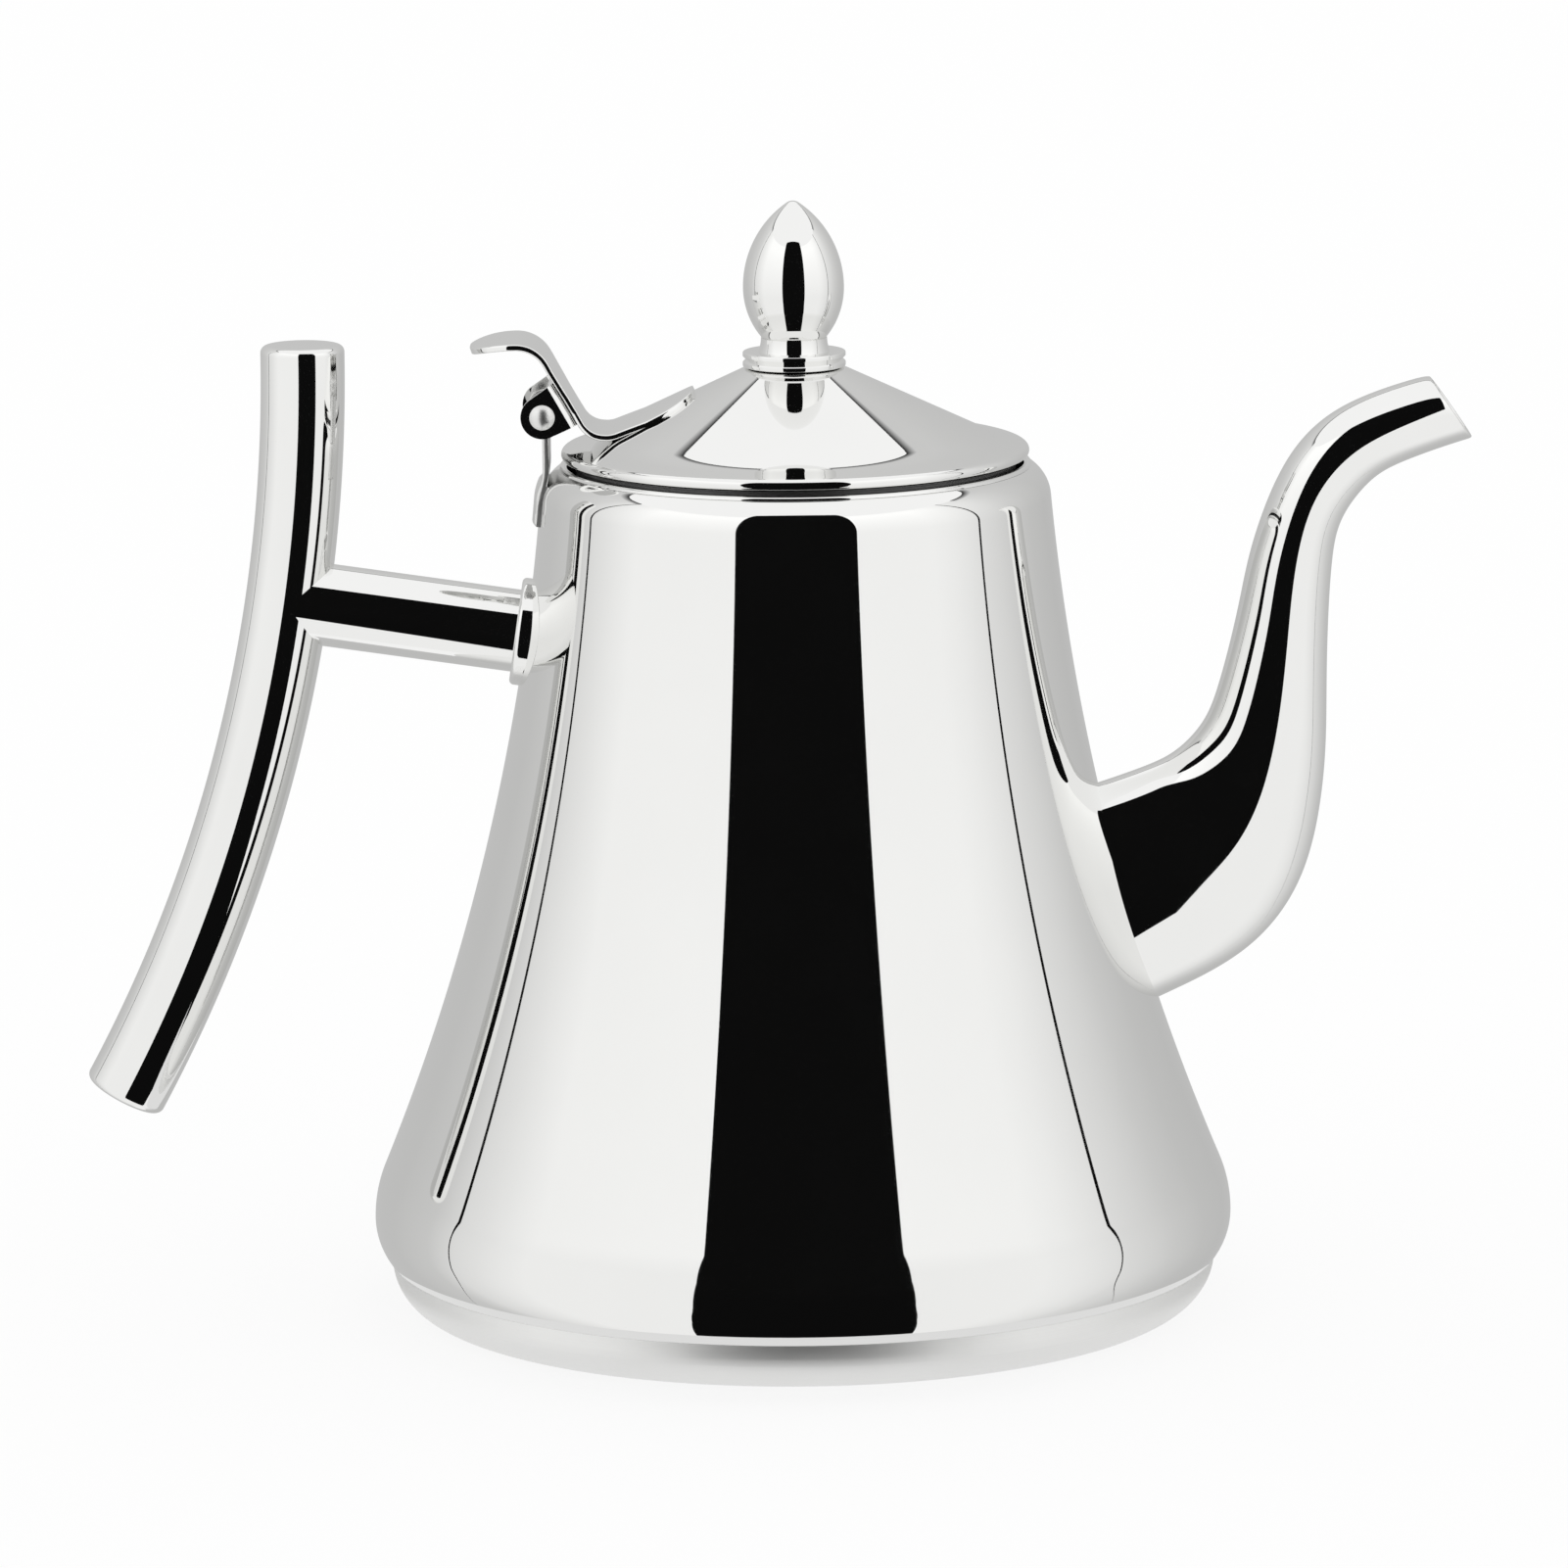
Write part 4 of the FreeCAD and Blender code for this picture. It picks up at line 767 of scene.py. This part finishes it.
def makeStrip():
    # a loop of rounded corners in plan, bowed as the wall is, carried from the wall up to the eye
    s = strapSizes
    half, edge, thick = s["width"] / 2, s["edgeRound"], s["plate"] / 2
    loop = chain(*[arc((x * (thick - edge), y * (half - edge)), edge, start, start + 90, 5)
                   for x, y, start in ((1, 1, 0), (-1, 1, 90), (-1, -1, 180), (1, -1, 270))])
    foot = wallSizes["neckHeight"] - s["foot"]
    heights = np.linspace(foot, pinZ - s["eyeRadius"] + s["eyeOverlap"], s["rows"])
    # it starts on the wall and leans over smoothly to stand under the pin
    share = np.clip((heights - foot) / (beadTop - foot), 0, 1)
    lean = share * share * (3 - 2 * share)
    middle = -(wallRadius(foot) + s["saddlePlate"] - thick) * (1 - lean) + pinX * lean
    wrap = loop[:, 1] ** 2 / (2 * wallSizes["neckRadius"])
    return cappedTube(gridPoints(middle[:, None] + loop[:, 0] + wrap, loop[:, 1], heights[:, None]))


def makeSaddle():
    # a shallow pad: its skin stands off the wall and dips into it round its edge
    s = strapSizes
    half, edge, lip = s["width"] / 2, s["edgeRound"], np.array([0, s["saddleLip"]])
    start, tall = wallSizes["neckHeight"] - s["saddleLow"], s["saddleLow"] + s["saddleHigh"]
    up = np.concatenate([lip, np.linspace(edge, tall - edge, s["saddleRows"]), tall - lip[::-1]])
    side = np.concatenate([lip - half, np.linspace(edge - half, half - edge, s["saddleColumns"]),
                           half - lip[::-1]])
    stand = np.full((len(up), len(side)), s["saddlePlate"])
    for ring, level in ((1, s["saddlePlate"] - edge), (0, -s["saddleDip"])):
        stand[[ring, -1 - ring]] = level
        stand[:, [ring, -1 - ring]] = level
    height = start + up
    slope = np.gradient(outerWall[:, 0]) / np.gradient(outerWall[:, 1])
    tilt = np.interp(height, outerWall[:, 1], slope)[:, None]

    def skin(lift):
        # the wall's circle at each height, widened by the lift and moved down by lift times its slope
        reach = wallRadius(height)[:, None] + lift
        return gridPoints(-np.sqrt(reach ** 2 - side ** 2), side, height[:, None] - lift * tilt)

    return slab(skin(stand), skin(np.full_like(stand, -s["saddleSunk"])))


def makeStrap():
    # eye, strip and saddle as one mesh
    strap = joined(makeEye(), makeStrip(), makeSaddle())
    makePiece("hingeStrap", strap, "kettle", rivetSteel, "hinge_bracket")


# Thumb lever: tongue on the cone, bend, rising strip, curl and drooping thumb rest

leverSizes = {
    "plate": 1.2, "width": 20.6, "offset": 5.1, "slope": 60.5, "bend": 4.5, "curl": 6.0, "droop": 25.0,
    "rise": 12.9, "reach": 13.3, "tipRound": 8.0, "tongueEnd": 18.9, "tongueRound": 9.0, "tongueSink": 0.25,
    "waist": 1.4, "waistTop": 9.0, "waistEase": 5.0, "pressEase": 8.0, "edgeRound": 0.35, "leastHalf": 0.05,
    "rows": 120, "endRows": 14, "endShare": 0.35, "leastStep": 1e-4, "edgeSteps": 5, "flatSteps": 15,
}


def leverLine(lift):
    # side view of the lever at a height above its under face: straight runs that meet in rounded corners
    s, cone, slope = leverSizes, lidSizes["coneSlope"], leverSizes["slope"]
    riseLevel = s["offset"] + pinX * sine(slope) + pinZ * cosine(slope) + lift
    foot = lidAt["foot"]
    tongueLevel = foot[0] * sine(cone) + foot[1] * cosine(cone) - s["tongueSink"] + lift
    turn = sine(slope + cone)
    low = np.array([(riseLevel * cosine(cone) - tongueLevel * cosine(slope)) / turn,
                    (tongueLevel * sine(slope) + riseLevel * sine(cone)) / turn])
    restZ = pinZ + s["rise"] + lift
    high = np.array([(riseLevel - restZ * cosine(slope)) / sine(slope), restZ])
    along = (-s["tongueEnd"] - lift * sine(cone) - low[0]) / cosine(cone)
    end = low + np.array([cosine(cone), sine(cone)]) * along
    lowBend, highBend = s["bend"] + s["plate"] - lift, s["curl"] + lift
    rest = high - np.array([highBend * tangent(slope / 2), 0])
    bendLow = roundedCorner(end, low, high, lowBend, 14, 1.0)
    bendHigh = roundedCorner(low, high, rest * 2 - high, highBend, 18, 1.0)
    droop = math.degrees(math.asin((rest[0] - pinX + s["reach"]) / s["droop"]))
    curl = arc((rest[0], rest[1] - s["droop"] - lift), s["droop"] + lift, 90, 90 + droop, 20)
    return chain(line(end, bendLow[0], 26), bendLow, line(bendLow[-1], bendHigh[0], 10), bendHigh, curl)


def leverPath():
    # the middle line of the plate, with rows closer together towards both ends
    s = leverSizes
    path = leverLine(s["plate"] / 2)
    marks = runLength(path)
    even = np.linspace(0, 1, s["rows"])
    share = (1 - np.cos(math.pi * even)) / 2
    ends = [share[:s["endRows"]], share[-s["endRows"]:]]
    mixed = s["endShare"] * share + (1 - s["endShare"]) * even
    at = marks[-1] * np.sort(np.concatenate([mixed, *ends]))
    at = at[apart(at, s["leastStep"])]
    return np.stack([np.interp(at, marks, path[:, 0]), np.interp(at, marks, path[:, 1])], 1)


def makeLever():
    # a rounded flat section carried along the middle line; its width follows the rounded ends in plan
    s, path = leverSizes, leverPath()
    along = np.gradient(path, axis=0)
    along /= np.linalg.norm(along, axis=1, keepdims=True)
    square = np.stack([along[:, 1], -along[:, 0]], 1)
    square = np.where(square[:, 1:] < 0, -square, square)

    def roundOff(distance, radius):
        # how far a round corner draws the edge in at a distance from its end
        into = np.clip(radius - distance, 0, radius)
        return radius - np.sqrt(radius ** 2 - into ** 2)

    fromTongue = np.clip(-s["tongueEnd"] - path[:, 0], 0, None)
    fromTip = np.clip(path[:, 0] - path[-1, 0], 0, None)
    width = s["width"] / 2 - roundOff(fromTongue, s["tongueRound"]) - roundOff(fromTip, s["tipRound"])
    # the strip is a little narrower where it rises past the ears
    bend = np.argmin(path[:, 1])
    level = np.where(np.arange(len(path)) > bend, path[:, 1], path[bend, 1])
    intoWaist = np.clip((level - path[bend, 1]) / s["waistEase"], 0, 1)
    width -= s["waist"] * intoWaist * np.clip((pinZ + s["waistTop"] - level) / s["waistEase"], 0, 1)
    # across is a share of the half width plus a fixed edge, up is the height in the plate
    edge, thick = s["edgeRound"], s["plate"] / 2
    corner = arc((0, 0), edge, 0, 90, s["edgeSteps"])
    side = np.concatenate([(corner * (1, -1))[::-1] + (-edge, -thick + edge), corner + (-edge, thick - edge)])
    flat = np.linspace(1, -1, s["flatSteps"])[1:-1]
    ones = np.ones(len(flat))
    across = np.concatenate([np.ones(len(side)), flat, -np.ones(len(side)), -flat])
    shift = np.concatenate([side[:, 0], 0 * ones, -side[::-1, 0], 0 * ones])
    up = np.concatenate([side[:, 1], thick * ones, side[::-1, 1], -thick * ones])
    half = np.where(np.abs(across) < 1, np.clip(width - edge, s["leastHalf"], None)[:, None], width[:, None])
    x, y, z = path[:, :1] + square[:, :1] * up, across * half + shift, path[:, 1:] + square[:, 1:] * up
    # the tongue is pressed to the cone, so it drops towards its sides
    pressed = np.clip((path[:, :1] - path[bend, 0]) / s["pressEase"], 0, 1)
    z = z - pressed * (np.hypot(x, y) - np.abs(x)) * tangent(lidSizes["coneSlope"])
    lever = cappedTube(gridPoints(x, y, z))
    makePiece("thumbLever", lever, "lid", mirrorSteel, "thumb_lever")


# Ears: a sheet under the lever, folded to a U round the strap

earSizes = {
    "radius": 4.1, "plate": 1.2, "fold": 2.0, "up": 4.6, "down": 4.6, "leastBow": 0.1, "leastBend": 0.02,
    "rows": 26, "foldSteps": 9, "webSteps": 12, "chordSteps": 17,
}


def earSide(depth, reach):
    # half length at a depth under the web: a straight edge as far as it touches the round end, then the round
    r, offset = earSizes["radius"], leverSizes["offset"]
    lean = math.atan2(reach, offset) - math.asin(r / math.hypot(reach, offset))
    touch = offset - r * math.sin(lean)
    straight = reach - np.clip(depth, 0, touch) * math.tan(lean)
    drop = np.clip(depth - offset, -r, r)
    bow = np.sqrt(np.clip(r ** 2 - drop ** 2, earSizes["leastBow"] ** 2, None))
    return np.where(depth < touch, straight, bow)


def earSheet(inset):
    # place across and depth, from one ear's end over the web to the other, under the outer face by an inset
    e = earSizes
    bend, outer = max(e["fold"] - inset, e["leastBend"]), pinSizes["span"] / 2 - inset
    far = leverSizes["offset"] + e["radius"]
    down = far - (1 - np.cos(np.linspace(0, math.pi / 2, e["rows"]))) * (far - e["fold"])
    fold = arc((outer - bend, -inset - bend), bend, 0, 90, e["foldSteps"])[1:]
    web = np.linspace(outer - bend, 0, e["webSteps"])[1:]
    y = np.concatenate([np.full(e["rows"], outer), fold[:, 0], web])
    depth = np.concatenate([down, -fold[:, 1], np.full(len(web), inset)])
    return np.concatenate([y, -y[-2::-1]]), np.concatenate([depth, depth[-2::-1]])


def makeEars():
    # web + run along the lever + depth towards the pin + place across; outer face one way, inner face back
    e, slope, offset = earSizes, leverSizes["slope"], leverSizes["offset"]
    v = np.linspace(-1, 1, e["chordSteps"])
    skins = []
    for inset in (0.0, e["plate"]):
        y, depth = earSheet(inset)
        above, below = earSide(depth, e["up"])[:, None], earSide(depth, e["down"])[:, None]
        run = v * np.where(v >= 0, above, below)
        deep = offset - depth[:, None]
        skins.append(gridPoints(pinX + deep * sine(slope) - run * cosine(slope), y[:, None],
                                pinZ + deep * cosine(slope) + run * sine(slope)))
    ears = cappedTube(np.concatenate([skins[0], skins[1][:, ::-1]], 1))
    makePiece("lidEars", ears, "lid", mirrorSteel, "lid_hinge_bracket")


drillStrainer(makeBody())
makeBase()
makeSpout()
makeGrip()
makeArm()
makeLid()
makeKnob()
makePin()
makeStrap()
makeLever()
makeEars()
print("pieces made")

# base_core takes rolled aluminium; the washer and screw take the darker inner steel, whose darkness is
# painted shade
for node, finish in {"base_core": rolledAluminium,
                     "knob_washer": innerShadeSteel, "knob_screw": innerShadeSteel}.items():
    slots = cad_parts[node].data.materials
    slots.clear()
    slots.append(finish)


# Studio: a light tent with a dark opening in front, bright sides, thin seams and a grey back

studioSizes = {
    "wallReach": 420.0, "wallLow": -1600.0, "wallHigh": 600.0, "wallTint": 0.995,
    "riseLow": 100.0, "riseHigh": 500.0, "riseGain": 1.2,
    "edgeLine": 6.0, "edgeShade": 36.0, "edgeSpan": (100, 260), "edgeFoot": 0.64, "edgeTop": 0.05,
    "openingAway": 300.0, "openingLow": -60.0, "openingHigh": 570.0, "roundWide": 20.0, "roundTall": 180.0,
    "padReach": 84.0, "padLevel": -0.5, "padGlow": 0.80, "black": 0.004, "cardGap": 4.0, "cardColumns": 21,
    "seams": (-99.6, 85.2), "seamBack": 1.1, "seamStep": 60.0,
    "floorSize": 12000.0, "floorColour": 0.97, "floorGlow": 0.8,
}
# brightness of the tent by azimuth, 0 towards the camera and positive towards the spout
wallLevels = [
    (-180, 0.53), (-132, 0.56), (-110, 0.62), (-101, 0.72), (-98, 0.77), (-90, 0.82), (-80, 0.89),
    (-72, 0.94), (60, 0.94), (70, 0.90), (78, 0.85), (84, 0.81), (87, 0.77), (96, 0.72), (108, 0.64),
    (124, 0.57), (143, 0.53), (180, 0.53),
]
# half width of the opening by height
openingEdge = [(-60, 147.5), (50, 139.5), (170, 140.5), (430, 143)]
# half width of the dark path by its distance in front of the axis
pathEdge = [(80, 38), (142, 66), (216, 103), (300, 147.5)]
# width of a seam by height
seamEdge = [(-340, 1.0), (-60, 3.5), (60, 4.0), (110, 8.0), (600, 8.0)]


def shining(name, level):
    # a material that gives off an even grey light
    material = bpy.data.materials.new(name)
    material.use_nodes = True
    tree = material.node_tree
    tree.nodes.clear()
    glow = addNode(tree, "ShaderNodeEmission", Color=(level, level, level, 1), Strength=1.0)
    addNode(tree, "ShaderNodeOutputMaterial", Surface=glow.outputs["Emission"])
    return material


def wallGlow():
    # emission read from the azimuth of the wall's own coordinates, a little brighter higher up
    s = studioSizes
    material = shining("studioWall", 1.0)
    tree = material.node_tree
    place = addNode(tree, "ShaderNodeTexCoord").outputs["Object"]
    x, y, z = addNode(tree, "ShaderNodeSeparateXYZ", place).outputs
    front = addNode(tree, "ShaderNodeMath", y, -1, operation="MULTIPLY").outputs["Value"]
    turn = addNode(tree, "ShaderNodeMath", x, front, operation="ARCTAN2").outputs["Value"]
    ramp = addNode(tree, "ShaderNodeValToRGB", Fac=mapRange(tree, turn, -math.pi, math.pi, 0, 1))
    stops = ramp.color_ramp.elements
    while len(stops) < len(wallLevels):
        stops.new(0.5)
    for stop, (azimuth, level) in zip(stops, wallLevels):
        stop.position = (azimuth + 180) / 360
        stop.color = (level, level, level * s["wallTint"], 1)
    glow = tree.nodes["Emission"].inputs
    tree.links.new(ramp.outputs["Color"], glow["Color"])
    gain = mapRange(tree, z, s["riseLow"] * mm, s["riseHigh"] * mm, 1, s["riseGain"])
    tree.links.new(gain, glow["Strength"])
    return material


def edgeGlow():
    # emission that falls from the wall's own grey to nearly black at its upper edge
    s = studioSizes
    material = shining("wallEdge", 1.0)
    tree = material.node_tree
    place = addNode(tree, "ShaderNodeTexCoord").outputs["Object"]
    height = addNode(tree, "ShaderNodeSeparateXYZ", place).outputs["Z"]
    low, high = (s["wallHigh"] - s["edgeShade"]) * mm, s["wallHigh"] * mm
    level = mapRange(tree, height, low, high, s["edgeFoot"], s["edgeTop"])
    tree.links.new(level, tree.nodes["Emission"].inputs["Strength"])
    return material


def makeCard(name, points, material):
    # a grid of points as a card that only reflections see
    card = addMesh(name, points, [gridFaces(*points.shape[:2], False, False)], material)
    for ray in ("visible_camera", "visible_diffuse", "visible_shadow", "visible_transmission"):
        setattr(card, ray, False)


def roundWall(reach, azimuth, heights):
    # points at (reach * sin a, -reach * cos a, height), azimuth in degrees from the camera's side
    turn = np.radians(azimuth)
    return gridPoints(reach * np.sin(turn), -reach * np.cos(turn), heights)


def makeTent():
    # cards round the kettle: wall, opening, path, pad, the wall's dark upper edge at the back, and seams
    s, reach, high = studioSizes, studioSizes["wallReach"], studioSizes["wallHigh"]
    black, near = shining("blackCard", s["black"]), reach - s["cardGap"]
    wall = roundWall(reach, np.linspace(-180, 180, 181), np.linspace(s["wallLow"], high, 9)[:, None])
    makeCard("studioWall", wall, wallGlow())
    # upright dark opening with oval upper corners, and the dark path on the ground that leads to it
    side = np.linspace(-1, 1, s["cardColumns"])
    height = np.linspace(s["openingLow"], s["openingHigh"], 201)
    intoCorner = np.clip(1 - (s["openingHigh"] - height) / s["roundTall"], 0, 1)
    half = np.interp(height, *zip(*openingEdge)) - s["roundWide"] * (1 - np.sqrt(1 - intoCorner ** 2))
    makeCard("tentOpening", gridPoints(half[:, None] * side, -s["openingAway"], height[:, None]), black)
    away = np.linspace(pathEdge[0][0], s["openingAway"], 41)
    half = np.interp(away, *zip(*pathEdge))
    makeCard("darkPath", gridPoints(half[:, None] * side, -away[:, None], s["openingLow"]), black)
    # pale pad under the base
    pad = roundWall(np.array([[0.0], [s["padReach"]]]), np.linspace(-180, 180, 91), s["padLevel"])
    makeCard("palePad", pad, shining("palePad", s["padGlow"]))
    ends = np.array([[high - s["edgeShade"]], [high + s["edgeLine"]]])
    makeCard("wallEdge", roundWall(near, np.linspace(*s["edgeSpan"], 81), ends), edgeGlow())
    # below the opening's foot a seam turns to the back by a square of the depth, and gets thinner
    height = np.linspace(seamEdge[0][0], high, 95)
    back = s["seamBack"] * (np.clip(s["openingLow"] - height, 0, None) / s["seamStep"]) ** 2
    half = np.degrees(np.interp(height, *zip(*seamEdge)) / 2 / reach)
    for k, seam in enumerate(s["seams"]):
        middle = seam + math.copysign(1, seam) * back
        azimuth = np.stack([middle - half, middle + half], 1)
        makeCard("wallSeam%d" % k, roundWall(near, azimuth, height[:, None]), black)


def makeFloor():
    # a pale square that glows towards the camera, and that reflections do not see
    s, side = studioSizes, studioSizes["floorSize"] * np.array([-0.5, 0.5])
    material = shining("paleFloor", 1.0)
    tree = material.node_tree
    glow, out = tree.nodes["Emission"], tree.nodes["Material Output"]
    seen = addNode(tree, "ShaderNodeLightPath").outputs["Is Camera Ray"]
    share = addNode(tree, "ShaderNodeMath", seen, s["floorGlow"], operation="MULTIPLY").outputs["Value"]
    pale = addNode(tree, "ShaderNodeBsdfDiffuse", Color=(*[s["floorColour"]] * 3, 1)).outputs["BSDF"]
    mix = addNode(tree, "ShaderNodeMixShader", share, pale, glow.outputs["Emission"])
    tree.links.new(mix.outputs["Shader"], out.inputs["Surface"])
    square = gridPoints(side, side[:, None], 0.0)
    floor = addMesh("floor", square, [gridFaces(2, 2, False, False)], material)
    floor.visible_glossy = False


def makeWorld():
    # even white light from all sides
    world = bpy.data.worlds.new("studio")
    bpy.context.scene.world = world
    world.use_nodes = True
    back = world.node_tree.nodes["Background"]
    back.inputs["Color"].default_value = (1, 1, 1, 1)
    back.inputs["Strength"].default_value = 1.0


makeTent()
makeFloor()
makeWorld()
print("studio made")


# Camera, fitted to the photo's view: distance, height, pitch, roll and focal length

cameraSizes = {
    "aside": -2.8, "away": 1881.0, "height": 446.9, "pitch": 10.41, "roll": -0.61, "lens": 229.09,
    "sensor": 36.0, "clipEnd": 100000.0,
}


def makeCamera():
    # rolled about its view, tipped down by its pitch, then moved to its place
    c = cameraSizes
    data = bpy.data.cameras.new("camera")
    data.sensor_width = c["sensor"]
    data.lens = c["lens"]
    data.clip_end = c["clipEnd"] * mm
    camera = addObject("camera", data)
    tip = Matrix.Rotation(math.radians(90 - c["pitch"]), 4, "X")
    roll = Matrix.Rotation(math.radians(c["roll"]), 4, "Z")
    place = Vector((c["aside"], -c["away"], c["height"])) * mm
    camera.matrix_world = Matrix.Translation(place) @ tip @ roll
    bpy.context.scene.camera = camera


makeCamera()
bpy.context.scene.view_settings.view_transform = "Standard"
